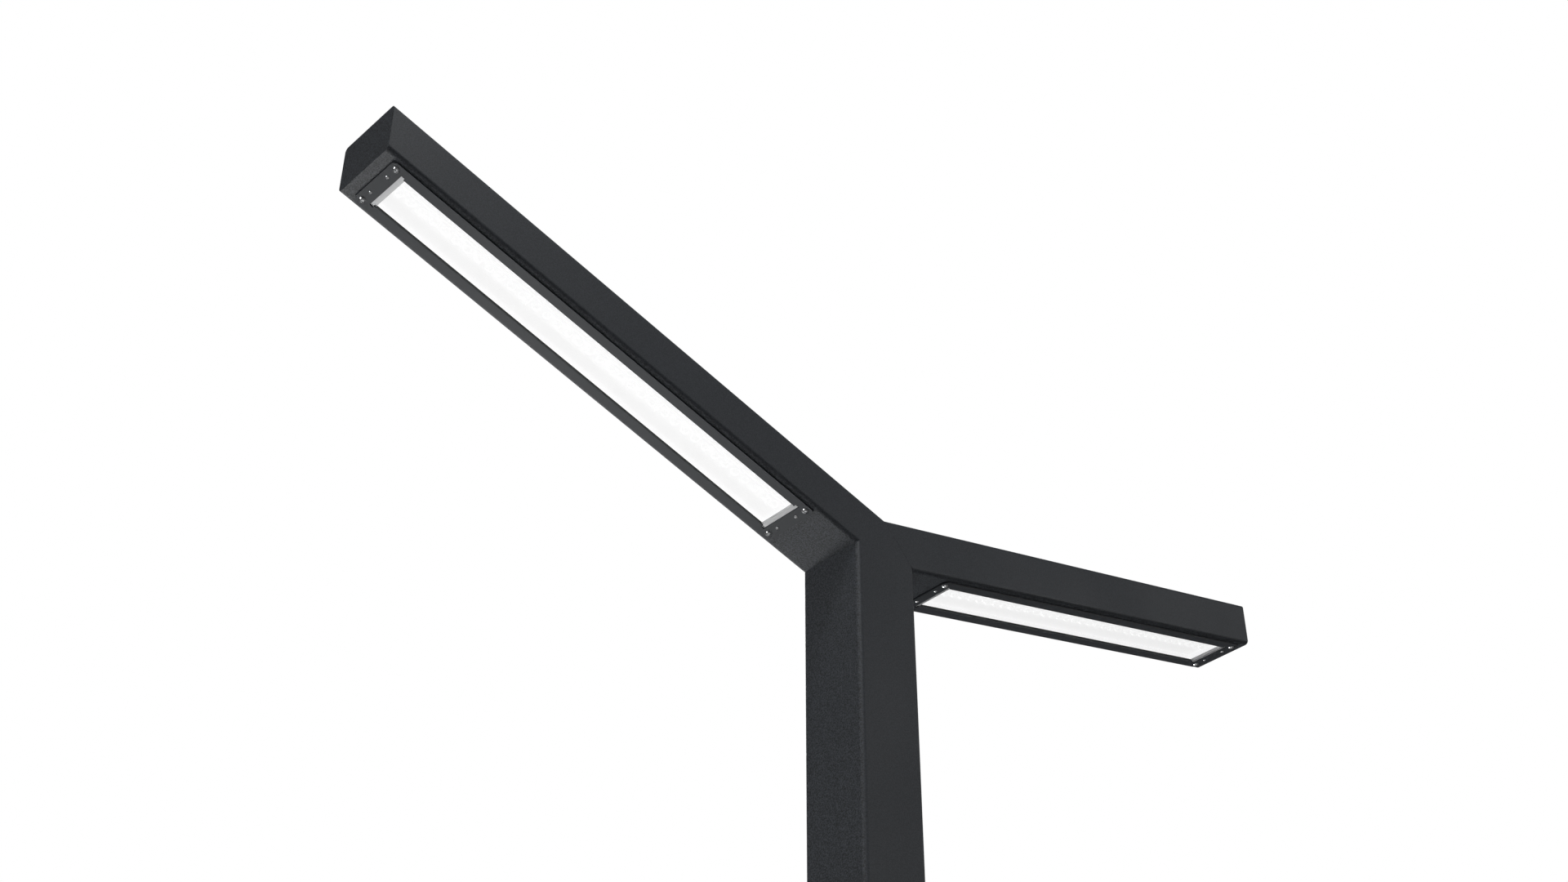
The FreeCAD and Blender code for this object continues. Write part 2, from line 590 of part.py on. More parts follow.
def make_lock():
    """A quarter-turn lock with a triangular key head. Its cam hangs down when it is open."""
    x, z = LOCK_X, DOOR_MIDDLE
    face = f"(-{HALF} - flange_thickness)"
    well_end = f"({face} + key_depth)"
    flange = rod("lock_flange_disc", "lock_flange", "flange_thickness", (x, face, z), "y")
    barrel_end = f"({CAM_Y} - cam_gap / 2)"
    barrel = rod("lock_barrel_rod", "lock_barrel", f"{barrel_end} + {HALF}", (x, f"-{HALF}", z), "y")
    well = rod("key_well_cutter", "key_well", "key_depth", (x, face, z), "y")
    bore = rod("rotor_bore", "rotor_shaft + 2 * run_clearance", f"{barrel_end} - {face}",
               (x, face, z), "y")
    node(cut("lock_body_cut", join("lock_body_blank", [flange, barrel]), [well, bore]), "lock_body")

    nut_start = f"leaf_thickness - {HALF}"
    nut = prism("lock_nut_blank", HEX, "lock_nut / 2 / cos(30 deg)", "nut_thickness",
                (x, nut_start, z), "y")
    nut_bore = rod("lock_nut_bore", "lock_barrel + 2 * thread_clearance", "nut_thickness",
                   (x, nut_start, z), "y")
    node(cut("lock_nut_cut", nut, [nut_bore]), "lock_nut")

    head_start = f"{face} + flange_thickness / 4"
    head = prism("key_head", 3, "key_radius", f"{well_end} - rotor_disc - ({head_start})",
                 (x, head_start, z), "y")
    disc = rod("rotor_shoulder", "key_well - 2 * run_clearance", "rotor_disc",
               (x, f"{well_end} - rotor_disc", z), "y")
    shaft = rod("rotor_rod", "rotor_shaft", f"{CAM_Y} - {well_end}", (x, well_end, z), "y")
    square = block("rotor_square_end", ("rotor_square", "cam_thickness", "rotor_square"),
                   (f"{x} - rotor_square / 2", CAM_Y, f"{z} - rotor_square / 2"))
    thread = rod("cam_screw_bore", "thread_medium + 2 * thread_clearance", "3 * cam_thickness",
                 (x, f"{CAM_Y} - 2 * cam_thickness", z), "y")
    node(cut("rotor_cut", join("rotor_blank", [head, disc, shaft, square]), [thread]), "lock_rotor")

    strip = block("cam_strip", ("cam_width", "cam_thickness", "cam_reach + cam_width / 2"),
                  (f"{x} - cam_width / 2", CAM_Y, f"{z} - cam_reach"))
    hole = block("cam_hole", ("rotor_square + 2 * run_clearance", "cam_thickness",
                              "rotor_square + 2 * run_clearance"),
                 (f"{x} - rotor_square / 2 - run_clearance", CAM_Y,
                  f"{z} - rotor_square / 2 - run_clearance"))
    node(cut("cam_cut", strip, [hole]), "lock_cam")


# ---- equipment behind the door ----

def make_rail():
    """A flat rail on two studs that are welded to the column's rear wall."""
    low = f"{DOOR_MIDDLE} - rail_length / 2"
    rail = block("rail_strip", ("rail_width", "rail_thickness", "rail_length"),
                 ("-rail_width / 2", RAIL_Y, low))
    holes, studs, nuts = [], [], []
    for end in ENDS:
        z = f"{DOOR_MIDDLE} + {end} * (rail_length / 2 - rail_end)"
        holes.append(rod("rail_stud_cutter", "thread_large + large_play", "rail_thickness", ("0", RAIL_Y, z), "y"))
        boss = rod("rail_boss_rod", "boss_diameter", "rail_boss",
                   ("0", f"{RAIL_Y} + rail_thickness", z), "y")
        stud = rod("rail_stud_rod", "thread_large", "rail_boss + rail_thickness + 1.8 * thread_large",
                   ("0", f"{RAIL_Y} - 1.8 * thread_large", z), "y")
        studs.append(join("rail_stud", [boss, stud]))
        height = "0.8 * thread_large"
        blank = prism("rail_nut_blank", HEX, "0.98 * thread_large", height,
                      ("0", f"{RAIL_Y} - {height}", z), "y")
        nuts.append(cut("rail_nut", blank, [
            rod("rail_nut_bore", "thread_large + 2 * thread_clearance", height,
                ("0", f"{RAIL_Y} - {height}", z), "y")]))
        screw_z = f"{BOX_LOW} + box_height / 2 + {end} * (box_height / 2 - box_screw_edge)"
        holes.append(rod("rail_screw_cutter", "thread_medium + 2 * thread_clearance",
                         "rail_thickness", ("0", RAIL_Y, screw_z), "y"))
    node(cut("rail_cut", rail, holes), "equipment_rail")
    node(group("rail_stud_pair", studs), "rail_studs")
    node(group("rail_nut_pair", nuts), "rail_nuts")


GLANDS = [
    # x, up or down, name of its sizes, bore
    ("gland_offset", 1, "riser", "riser_cable + cord_play"),
    ("-gland_offset", 1, "riser", "riser_cable + cord_play"),
    ("0.8 * gland_offset", -1, "mains", "mains_bore"),
    ("-1.1 * gland_offset", -1, "earth", "earth_cable + cord_play"),
]


def make_junction_box():
    low, top = BOX_LOW, f"({BOX_LOW} + box_height)"
    left = "-box_width / 2"
    shell = block("box_shell", ("box_width", "box_depth", "box_height"), (left, BOX_FRONT, low))
    inside = block("box_inside", ("box_width - 2 * box_wall", "box_depth", "box_height - 2 * box_wall"),
                   (f"{left} + box_wall", f"{BOX_FRONT} - box_wall", f"{low} + box_wall"))
    lid_front = f"({BOX_FRONT} - lid_depth)"
    lid = block("lid_shell", ("box_width", "lid_depth", "box_height"), (left, lid_front, low))
    lid_inside = block("lid_inside",
                       ("box_width - 2 * box_wall", "lid_depth", "box_height - 2 * box_wall"),
                       (f"{left} + box_wall", f"{lid_front} + box_wall", f"{low} + box_wall"))
    posts, bores, lid_holes = [], [], []
    for side in ENDS:
        for end in ENDS:
            x = f"{side} * (box_width / 2 - post_inset)"
            z = f"{low} + box_height / 2 + {end} * (box_height / 2 - post_inset)"
            posts.append(rod("box_post", "post_diameter", "box_depth - box_wall", (x, BOX_FRONT, z), "y"))
            bores.append(rod("post_bore", "thread_medium + 2 * thread_clearance", "box_depth / 2",
                             (x, BOX_FRONT, z), "y"))
            lid_holes.append(rod("lid_hole", "thread_medium + small_play", "lid_depth", (x, lid_front, z), "y"))
    glands = []
    for x, way, kind, bore in GLANDS:
        thread, flats, dome = kind + "_thread", kind + "_flats", kind + "_dome"
        wall = f"({top} - box_wall)" if way > 0 else low
        bores.append(rod("gland_hole", f"{thread} + cord_play", "box_wall", (x, CABLE_Y, wall)))
        seat = top if way > 0 else low
        nipple_length = "(box_wall + gland_hex)"
        nipple_low = f"({seat} - {nipple_length})" if way > 0 else seat
        hex_low = seat if way > 0 else f"({seat} - gland_hex)"
        dome_low = f"({seat} + gland_hex)" if way > 0 else f"({seat} - gland_hex - {dome})"
        blank = join("gland_blank", [
            rod("gland_nipple", thread, nipple_length, (x, CABLE_Y, nipple_low)),
            prism("gland_hex", HEX, f"{flats} / 2 / cos(30 deg)", "gland_hex", (x, CABLE_Y, hex_low)),
            rod("gland_dome", f"{flats} - 2", dome, (x, CABLE_Y, dome_low))])
        way_low = nipple_low if way > 0 else dome_low
        way_length = f"box_wall + 2 * gland_hex + {dome}"
        glands.append(cut("gland", blank, [rod("gland_bore", bore, way_length, (x, CABLE_Y, way_low))]))
    for end in ENDS:
        z = f"{low} + box_height / 2 + {end} * (box_height / 2 - box_screw_edge)"
        bores.append(rod("box_screw_hole", "thread_medium + small_play", "box_wall",
                         ("0", f"{RAIL_Y} - box_wall", z), "y"))
    hollow = cut("box_hollow", shell, [inside])
    node(cut("box_cut", join("box_with_posts", [hollow] + posts), bores), "junction_box")
    node(cut("lid_cut", lid, [lid_inside] + lid_holes), "junction_box_lid")
    node(group("gland_set", glands), "cable_glands")


def make_box_contents():
    """A five-way terminal block, and a short DIN rail with two fuse carriers."""
    back = f"({RAIL_Y} - box_wall)"
    body = block("terminal_body", (f"{WAYS} * way_pitch", "terminal_depth", "terminal_height"),
                 (f"-{WAYS} * way_pitch / 2", f"{back} - terminal_depth", f"{BOX_LOW} + terminal_rise"))
    holes = []
    for way in range(WAYS):
        x = f"{way + 0.5 - WAYS / 2} * way_pitch"
        holes.append(rod("wire_bore", "wire_hole", "terminal_height",
                         (x, f"{back} - 0.4 * terminal_depth", f"{BOX_LOW} + terminal_rise")))
        holes.append(rod("clamp_bore", "clamp_hole", "0.6 * terminal_depth",
                         (x, f"{back} - terminal_depth", f"{BOX_LOW} + terminal_rise + terminal_height / 2"), "y"))
    node(cut("terminal_cut", body, holes), "terminal_block")

    rail_low = f"({BOX_LOW} + din_rise)"
    left = "-din_length / 2"
    inner = "(din_lip - din_sheet)"
    parts = [block("din_web", ("din_length", "din_sheet", f"din_height - 2 * {inner}"),
                   (left, f"{back} - din_sheet", f"{rail_low} + {inner}"))]
    for start in (inner, "(din_height - din_lip)"):
        parts.append(block("din_side", ("din_length", "din_depth", "din_sheet"),
                           (left, f"{back} - din_depth", f"{rail_low} + {start}")))
    for start in ("0 * din_lip", "(din_height - din_lip)"):
        parts.append(block("din_edge", ("din_length", "din_sheet", "din_lip"),
                           (left, f"{back} - din_depth", f"{rail_low} + {start}")))
    node(join("din_rail_strip", parts), "din_rail")

    carriers = []
    for side in ENDS:
        x = f"({side} * (carrier_width + carrier_gap) / 2 - carrier_width / 2)"
        front = f"({back} - din_depth - carrier_depth)"
        case = block("fuse_case", ("carrier_width", "carrier_depth", "carrier_height"),
                     (x, front, f"{rail_low} + (din_height - carrier_height) / 2"))
        grip = block("fuse_grip", ("carrier_width - 4", "grip_depth", "grip_height"),
                     (f"{x} + 2", f"{front} - grip_depth", f"{rail_low} + (din_height - grip_height) / 2"))
        carriers.append(join("fuse_carrier", [case, grip]))
    node(group("fuse_pair", carriers), "fuse_carriers")


def make_earth():
    """A stud on the column's left inner wall, its nut and washer, and the lead's cable lug."""
    wall = f"(tube_wall - {HALF})"
    lug_x = f"({wall} + boss_length)"
    washer_x = f"({lug_x} + lug_sheet)"
    spot = (CABLE_Y, EARTH_Z)
    node(join("earth_stud_rod", [
        rod("earth_boss", "stud_boss", "boss_length", (wall, *spot), "x"),
        rod("earth_rod", "thread_stud", "stud_length", (wall, *spot), "x")]), "earth_stud")
    ring = rod("lug_disc", "lug_ring", "lug_sheet", (lug_x, *spot), "x")
    neck = block("lug_neck", ("lug_sheet", "lug_barrel", "barrel_length"),
                 (lug_x, f"{CABLE_Y} - lug_barrel / 2", EARTH_Z))
    sleeve_x = f"{lug_x} + lug_sheet / 2"
    sleeve = rod("lug_sleeve", "lug_barrel", "barrel_length",
                 (sleeve_x, CABLE_Y, f"{EARTH_Z} + barrel_rise"))
    hole = rod("lug_hole", "thread_stud + small_play", "3 * lug_sheet", (wall, *spot), "x")
    crimp = rod("lug_crimp", "earth_cable", "crimp_depth",
                (sleeve_x, CABLE_Y, f"{EARTH_Z} + barrel_rise + barrel_length - crimp_depth"))
    node(cut("lug_cut", join("lug_blank", [ring, neck, sleeve]), [hole, crimp]), "earth_lug")
    washer = cut("earth_washer", rod("earth_washer_disc", "washer_size", "washer_sheet", (washer_x, *spot), "x"),
                 [rod("earth_washer_bore", "thread_stud + small_play", "washer_sheet", (washer_x, *spot), "x")])
    nut_x = f"{washer_x} + washer_sheet"
    nut = cut("earth_nut", prism("earth_nut_blank", HEX, "stud_flats / 2 / cos(30 deg)", "stud_nut",
                                 (nut_x, *spot), "x"),
              [rod("earth_nut_bore", "thread_stud + 2 * thread_clearance", "stud_nut", (nut_x, *spot), "x")])
    node(group("earth_fixing_pair", [washer, nut]), "earth_nut_and_washer")


# ---- arms ----

def make_arm_tube(side):
    """A rectangular tube, mitred to the head, plumb at the end, with the cassette's cut-out below."""
    name = side + "_arm"
    width, depth = "column_side", "arm_depth"
    bar = slab(name + "_ring", "YZ", "0 * arm_depth", "2 * (arm_reach + arm_depth)",
               (width, depth, "tube_corner"),
               (f"{width} - 2 * tube_wall", f"{depth} - 2 * tube_wall", "tube_corner - tube_wall"),
               centre=("0", "arm_depth / 2"), both=True)
    spill = "(arm_depth / 10)"
    axis_shift = f"{HALF} / cos{SLOPE}"
    mitre_x = f"((arm_depth - tube_wall) * tan{SLOPE} - {axis_shift})"
    corners = [
        (f"-{spill} * {mitre_x} / (arm_depth - tube_wall)", f"-{spill}"),
        (f"{TUBE_UNDERSIDE} - {spill} * tan{SLOPE}", f"-{spill}"),
        (f"{TUBE_UNDERSIDE} + (arm_depth + {spill}) * tan{SLOPE}", f"arm_depth + {spill}"),
        (f"(arm_depth + {spill}) * tan{SLOPE} - {axis_shift}", f"arm_depth + {spill}"),
        (mitre_x, "arm_depth - tube_wall"),
    ]
    trimmed = overlap(name + "_trimmed", bar, profile(name + "_trim", corners, "2 * column_side"))
    through = "3 * tube_wall"
    cutters = [
        middle_block(name + "_opening", f"2 * {OPENING_END}", "opening_width", through,
                     CASSETTE_AT, "-tube_wall"),
        middle_block(name + "_notches", f"2 * {NOTCH_END}", "notch_width", through,
                     CASSETTE_AT, "-tube_wall"),
    ]
    for x in ENDS:
        for y in ENDS:
            cutters.append(rod(name + "_screw_hole", "thread_large + large_play", "2 * tube_wall",
                               (f"{CASSETTE_AT} + {x} * {SCREW_X}", f"{y} * {SCREW_Y}", "-tube_wall / 2")))
    tube = cut(name + "_tube_cut", trimmed, cutters)
    node(in_arm(tube, side, "0"), side + "_arm_tube")


def make_arm_cap(side):
    """The plumb plate that closes the arm's end, with the tube's own outline."""
    name = side + "_cap"
    bar = slab(name + "_bar", "YZ", "0 * arm_depth", "2 * (arm_reach + arm_depth)",
               ("column_side", "arm_depth", "tube_corner"), centre=("0", "arm_depth / 2"), both=True)
    spill = "(arm_depth / 10)"
    low, high = f"-{spill}", f"arm_depth + {spill}"
    corners = [(f"{start} + ({z}) * tan{SLOPE}", z)
               for start, z in ((TUBE_UNDERSIDE, low), (ARM_UNDERSIDE, low),
                                (ARM_UNDERSIDE, high), (TUBE_UNDERSIDE, high))]
    cap = overlap(name + "_plate", bar, profile(name + "_slice", corners, "2 * column_side"))
    node(in_arm(cap, side, "0"), side + "_arm_end_cap")


def screw_holes(name, diameter, x, y, low, length):
    return [rod(name, diameter, length, (f"{a} * {x}", f"{b} * {y}", low)) for a in ENDS for b in ENDS]


def make_window_plate(side):
    """The smooth cover plate: a long window whose ends widen into slots, and eight screw holes."""
    name = side + "_plate"
    blank = slab(name + "_blank", "XY", PLATE_FACE, "plate_thickness",
                 ("plate_length", "plate_width", "plate_corner"))
    deep = "3 * plate_thickness"
    low = f"{PLATE_FACE} - plate_thickness"
    cutters = [middle_block(name + "_window", f"2 * {WINDOW_END}", "window_width", deep, "0", low)]
    for end in ENDS:
        cutters.append(middle_block(name + "_slot", "slot_length", "slot_width", deep,
                                    f"{end} * ({WINDOW_END} - slot_length / 2)", low))
    cutters += screw_holes(name + "_corner_hole", "thread_large + large_play", SCREW_X, SCREW_Y, low, deep)
    cutters += screw_holes(name + "_bar_hole", "thread_small + small_play", SCREW_X, "bar_screws / 2", low, deep)
    node(in_arm(cut(name + "_cut", blank, cutters), side, CASSETTE_AT), side + "_window_plate")

    seal = slab(side + "_seal_blank", "XY", SEAL_TOP, "plate_seal",
                ("plate_length - 2 * seal_edge", "plate_width - 2 * seal_edge", "plate_corner - seal_edge"))
    seal_cutters = [
        middle_block(side + "_seal_opening", f"2 * ({OPENING_END} + seal_edge)",
                     "opening_width + 2 * seal_edge", "3 * plate_seal", "0", "-2 * plate_seal"),
        middle_block(side + "_seal_notches", f"2 * ({NOTCH_END} + seal_edge)",
                     "notch_width + 2 * seal_edge", "3 * plate_seal", "0", "-2 * plate_seal")]
    seal_cutters += screw_holes(side + "_seal_hole", "thread_large + large_play", SCREW_X, SCREW_Y,
                                "-2 * plate_seal", "3 * plate_seal")
    node(in_arm(cut(side + "_seal_cut", seal, seal_cutters), side, CASSETTE_AT), side + "_plate_seal")


def make_window(side):
    """The pane, the strips that seal its long edges and the bars that hold its ends."""
    name = side + "_pane"
    pane = slab(name + "_sheet", "XY", "pane_depth", "pane_thickness",
                ("plate_length - 2 * pane_margin", "pane_width", "tube_corner / 3"))
    node(in_arm(pane, side, CASSETTE_AT), side + "_window_pane")

    strips = []
    for y in ENDS:
        strips.append(block(name + "_strip", (f"2 * {BAR_START} - 1", "strip_width", "pane_depth + plate_seal"),
                            (f"0.5 - {BAR_START}", f"{y} * (pane_width - strip_width) / 2 - strip_width / 2",
                             SEAL_TOP)))
    node(in_arm(group(name + "_strips", strips), side, CASSETTE_AT), side + "_pane_seals")

    bars = []
    for end in ENDS:
        base_end = f"({OPENING_END} - bar_clear)"
        thick = "pane_depth + plate_seal"
        rib_end = f"({WINDOW_END} - bar_clear)"
        rib_low = f"{PLATE_FACE} + bar_recess"
        rib_high = "plate_thickness - bar_recess"
        slot_start = f"({WINDOW_END} - slot_length + bar_clear)"
        parts = [
            middle_block("bar_base", f"{base_end} - {BAR_START}", "pane_width - 2", thick,
                         f"{end} * ({base_end} + {BAR_START}) / 2", SEAL_TOP),
            middle_block("bar_tongue", f"{NOTCH_END} - bar_clear - {BAR_START}", "notch_width - 2", thick,
                         f"{end} * ({NOTCH_END} - bar_clear + {BAR_START}) / 2", SEAL_TOP),
            middle_block("bar_rib", f"{rib_end} - {BAR_START}", "window_width - 2 * bar_clear", rib_high,
                         f"{end} * ({rib_end} + {BAR_START}) / 2", rib_low),
            middle_block("bar_ears", f"{rib_end} - {slot_start}", "slot_width - 4 * bar_clear", rib_high,
                         f"{end} * ({rib_end} + {slot_start}) / 2", rib_low)]
        holes = [rod("bar_hole", "thread_small + small_play", "2 * pane_depth",
                     (f"{end} * {SCREW_X}", f"{y} * bar_screws / 2", "-pane_depth")) for y in ENDS]
        bars.append(cut(side + "_bar", join("bar_blank", parts), holes))
    node(in_arm(group(side + "_bar_pair", bars), side, CASSETTE_AT), side + "_window_end_bars")


def make_tray(side):
    """The white tray that lies on the pane and carries the LED boards and the driver."""
    name = side + "_tray"
    pane_end = "(plate_length / 2 - pane_margin)"
    shell = middle_block(name + "_shell", f"2 * {pane_end}", "pane_width",
                         f"{TRAY_TOP} - {PANE_TOP}", "0", PANE_TOP)
    tongue = middle_block(name + "_tongues", f"2 * ({NOTCH_END} - bar_clear)", "notch_width - 2",
                          "tray_wall", "0", TRAY_FLOOR)
    inside = middle_block(name + "_inside", f"2 * ({pane_end} - tray_wall)", "pane_width - 2 * tray_wall",
                          f"{TRAY_FLOOR} - {PANE_TOP} + 1", "0", f"{PANE_TOP} - 1")
    holes = screw_holes(name + "_hole", "thread_small + small_play", SCREW_X, "bar_screws / 2",
                        TRAY_FLOOR, "tray_wall")
    for end in ENDS:
        for y in ENDS:
            holes.append(rod(name + "_driver_hole", "thread_medium + 2 * thread_clearance", "tray_wall",
                             (f"{end} * (driver_length + driver_ear) / 2 - driver_shift",
                              f"{y} * driver_width / 3", TRAY_FLOOR)))
    holes.append(rod(name + "_lead_hole", "output_lead + large_play", "tray_wall",
                     ("driver_length / 2 - driver_shift + lead_reach", "0", TRAY_FLOOR)))
    folded = cut(name + "_folded", shell, [inside])
    tray = cut(name + "_cut", join(name + "_blank", [folded, tongue]), holes)
    node(in_arm(tray, side, CASSETTE_AT), side + "_led_tray")

    boards = []
    for number in range(BOARDS):
        x = f"{number - (BOARDS - 1) / 2} * board_pitch"
        boards.append(middle_block(side + "_board", "board_length", "board_width", "board_thickness",
                                   x, "board_depth"))
    node(in_arm(group(side + "_board_set", boards), side, CASSETTE_AT), side + "_led_boards")


def make_driver(side):
    """A potted LED driver with a foot at each end, screwed to the top of the tray."""
    name = side + "_driver"
    case = middle_block(name + "_case", "driver_length", "driver_width", "driver_height",
                        "-driver_shift", TRAY_TOP)
    feet = middle_block(name + "_feet", "driver_length + 2 * driver_ear", "driver_width", "tray_wall",
                        "-driver_shift", TRAY_TOP)
    holes = []
    for end in ENDS:
        for y in ENDS:
            holes.append(rod(name + "_hole", "thread_medium + small_play", "tray_wall",
                             (f"{end} * (driver_length + driver_ear) / 2 - driver_shift",
                              f"{y} * driver_width / 3", TRAY_TOP)))
    driver = cut(name + "_cut", join(name + "_blank", [case, feet]), holes)
    node(in_arm(driver, side, CASSETTE_AT), side + "_led_driver")


def make_lenses(side, cassette, lens):
    """A dome over each LED, twelve to a board."""
    places = []
    for board in range(BOARDS):
        for number in range(LENSES_PER_BOARD):
            x = (board - (BOARDS - 1) / 2) * size("board_pitch")
            x += (number - (LENSES_PER_BOARD - 1) / 2) * size("lens_pitch")
            places.append(cassette.multiply(FreeCAD.Placement(V(x, 0, size("board_depth")), FreeCAD.Rotation())))
    scatter(side + "_led_lenses", lens, places)


def make_lens():
    """A low dome that stands on z = 0 and points to -z."""
    dome = doc.addObject("Part::Sphere", "lens_dome")
    radius = "((lens_diameter ^ 2 / 4 + lens_height ^ 2) / (2 * lens_height))"
    bind(dome, "Radius", radius)
    shift(dome, ("0", "0", f"{radius} - lens_height"))
    return overlap("lens_master", dome,
                   rod("lens_rim", "lens_diameter", "lens_height", ("0", "0", "-lens_height")))


def local(x, y, z, turn=None):
    return FreeCAD.Placement(V(x, y, z), turn or FreeCAD.Rotation())


def make_fasteners(cassettes):
    """All the screws, nuts and stand-offs, each kind as one node."""
    corner_x = size("plate_length") / 2 - size("screw_edge")
    corner_y = size("plate_width") / 2 - size("screw_edge")
    small_y = size("bar_screws") / 2
    plate_face = -size("plate_seal") - size("plate_thickness")
    tray_floor = size("board_depth") + size("board_thickness")
    tray_top = tray_floor + size("tray_wall")
    upside_down = FreeCAD.Rotation(V(1, 0, 0), 180)

    def spots(x, y, z, turn=None, centre=0.0):
        return [frame.multiply(local(centre + a * x, b * y, z, turn))
                for frame in cassettes.values() for a in ENDS for b in ENDS]

    corner = button_screw("corner_screw", "thread_large",
                          "plate_thickness + plate_seal + tube_wall + weld_height", "large", "tamper_pin")
    small = button_screw("bar_screw", "thread_small", "10", "small")
    tray = button_screw("tray_screw", "thread_small", "6", "small")
    driver = button_screw("driver_screw", "thread_medium", "2 * tray_wall", "medium")
    lid = button_screw("lid_screw", "thread_medium", "lid_depth + 18", "medium")
    box = button_screw("box_screw", "thread_medium", "box_wall + rail_thickness", "medium")
    cam = button_screw("cam_screw_blank", "thread_medium", "2.5 * cam_thickness", "medium")
    weld_nut = cut("weld_nut", middle_block("weld_nut_blank", "weld_nut", "weld_nut", "weld_height", "0", "0"),
                   [rod("weld_nut_bore", "thread_large + 2 * thread_clearance", "weld_height", ("0", "0", "0"))])
    standoff_length = f"{TRAY_FLOOR} - pane_depth"
    standoff = cut("standoff", rod("standoff_rod", "standoff_diameter", standoff_length, ("0", "0", "0")),
                   [rod("standoff_bore", "thread_small + 2 * thread_clearance", standoff_length,
                        ("0", "0", "0"))])
    lens = make_lens()
    doc.recompute()

    scatter("plate_corner_screws", corner, spots(corner_x, corner_y, plate_face))
    scatter("end_bar_screws", small, spots(corner_x, small_y, plate_face))
    scatter("tray_screws", tray, spots(corner_x, small_y, tray_top, upside_down))
    scatter("tray_standoffs", standoff, spots(corner_x, small_y, size("pane_depth")))
    scatter("plate_weld_nuts", weld_nut, spots(corner_x, corner_y, size("tube_wall")))
    ear_x = (size("driver_length") + size("driver_ear")) / 2
    scatter("driver_screws", driver,
            spots(ear_x, size("driver_width") / 3, tray_top + size("tray_wall"), upside_down,
                  -size("driver_shift")))
    for side, frame in cassettes.items():
        make_lenses(side, frame, lens)

    inward = TURNS["y"]
    back = size("column_side") / 2 - size("tube_wall") - size("rail_boss") - size("rail_thickness")
    front = back - size("box_depth") - size("lid_depth")
    box_middle = size("door_bottom") + size("box_rise") + size("box_height") / 2
    lid_x = size("box_width") / 2 - size("post_inset")
    lid_z = size("box_height") / 2 - size("post_inset")
    scatter("lid_screws", lid, [local(a * lid_x, front, box_middle + b * lid_z, inward)
                                for a in ENDS for b in ENDS])
    scatter("box_screws", box, [local(0, back - size("box_wall"), box_middle + b * (size("box_height") / 2 - size("box_screw_edge")),
                                      inward) for b in ENDS])
    cam_back = (size("tube_wall") + size("frame_thickness") + size("cam_gap") + size("cam_thickness")
                - size("column_side") / 2)
    outward = FreeCAD.Rotation(V(1, 0, 0), 90)
    scatter("cam_screw", cam, [local(size("door_width") / 2 - size("lock_edge"), cam_back,
                                     size("door_bottom") + size("door_height") / 2, outward)])


def make_cables(cassettes):
    """The riser cable to each driver, each driver's output lead, and the earth lead."""
    half = size("column_side") / 2
    back = half - size("tube_wall") - size("rail_boss") - size("rail_thickness")
    y = back - size("gland_back")
    box_top = size("door_bottom") + size("box_rise") + size("box_height")
    tray_top = size("board_depth") + size("board_thickness") + size("tray_wall")
    driver_mid = tray_top + size("driver_height") / 2
    for side, frame in cassettes.items():
        sign = SIDES[side]
        x = sign * size("gland_offset")
        inner = -size("driver_shift") - size("driver_length") / 2
        end = frame.multVec(V(inner, sign * y, driver_mid))
        along = frame.Rotation.multVec(V(1, 0, 0))
        bend_at = end - along * ((end.x - x) / along.x)
        cable(side + "_riser_cable", [V(x, y, box_top - 2 * size("riser_dome")), V(x, y, bend_at.z), end],
              size("riser_cable"), size("riser_bend"))
        outer = inner + size("driver_length")
        reach = outer + size("lead_reach")
        floor = size("board_depth") + size("board_thickness")
        cable(side + "_output_lead",
              [frame.multVec(V(*p)) for p in ((outer, 0, driver_mid), (reach, 0, driver_mid), (reach, 0, floor))],
              size("output_lead"), 2.4 * size("output_lead"))
    earth_z = size("door_bottom") + size("earth_rise")
    lug_x = size("tube_wall") - half + size("boss_length") + size("lug_sheet") / 2
    crimp_z = earth_z + size("barrel_rise") + size("barrel_length") - size("crimp_depth")
    gland_x = -1.1 * size("gland_offset")
    box_low = size("door_bottom") + size("box_rise")
    corners = [V(lug_x, y, crimp_z), V(lug_x, y, crimp_z + 20), V(gland_x, y, crimp_z + 36),
               V(gland_x, y, box_low + 10)]
    cable("earth_lead", corners, size("earth_cable"), 3 * size("earth_cable"))


def check(items):
    """Stops before anything is written if a feature failed or a node's shape is not sound."""
    for item in doc.Objects:
        if "Invalid" in item.State or "Error" in item.State:
            raise SystemExit(f"{item.Name} failed: {item.State}")
    for label, item in items.items():
        shape = item.Shape
        if shape.isNull() or not shape.isValid() or not shape.Solids:
            raise SystemExit(f"{label} has no sound solid")
        if abs(shape.Volume - sum(solid.Volume for solid in shape.Solids)) > 1e-3 * shape.Volume:
            raise SystemExit(f"{label} holds more than its solids")


make_base_plate()
make_column_tube()
make_door()
make_hinges()
make_lock()
make_rail()
make_junction_box()
make_box_contents()
make_earth()
for arm_side in SIDES:
    make_arm_tube(arm_side)
    make_arm_cap(arm_side)
    make_window_plate(arm_side)
    make_window(arm_side)
    make_tray(arm_side)
    make_driver(arm_side)
doc.recompute()
cassette_frames = {arm_side: nodes[arm_side + "_window_plate"].Placement for arm_side in SIDES}
make_fasteners(cassette_frames)
make_cables(cassette_frames)
doc.recompute()
check(nodes)

os.makedirs("parts", exist_ok=True)
for label, item in nodes.items():
    item.Shape.exportStep(f"parts/{label}.step")
    print(f"{label}: {len(item.Shape.Solids)} solids, {item.Shape.Volume / 1000:.1f} cm3")
print(len(nodes), "nodes")
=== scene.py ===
# %% [markdown]
# # A twin-arm LED light column
# The object is a square steel column with two rising arms, and a lit window under each arm.
# The CAD model is loaded as it is, and it is never moved or reshaped. This file adds what a
# drawing leaves out: weld beads, lens domes, ribs, small screws, wires, and a finish for every
# surface.

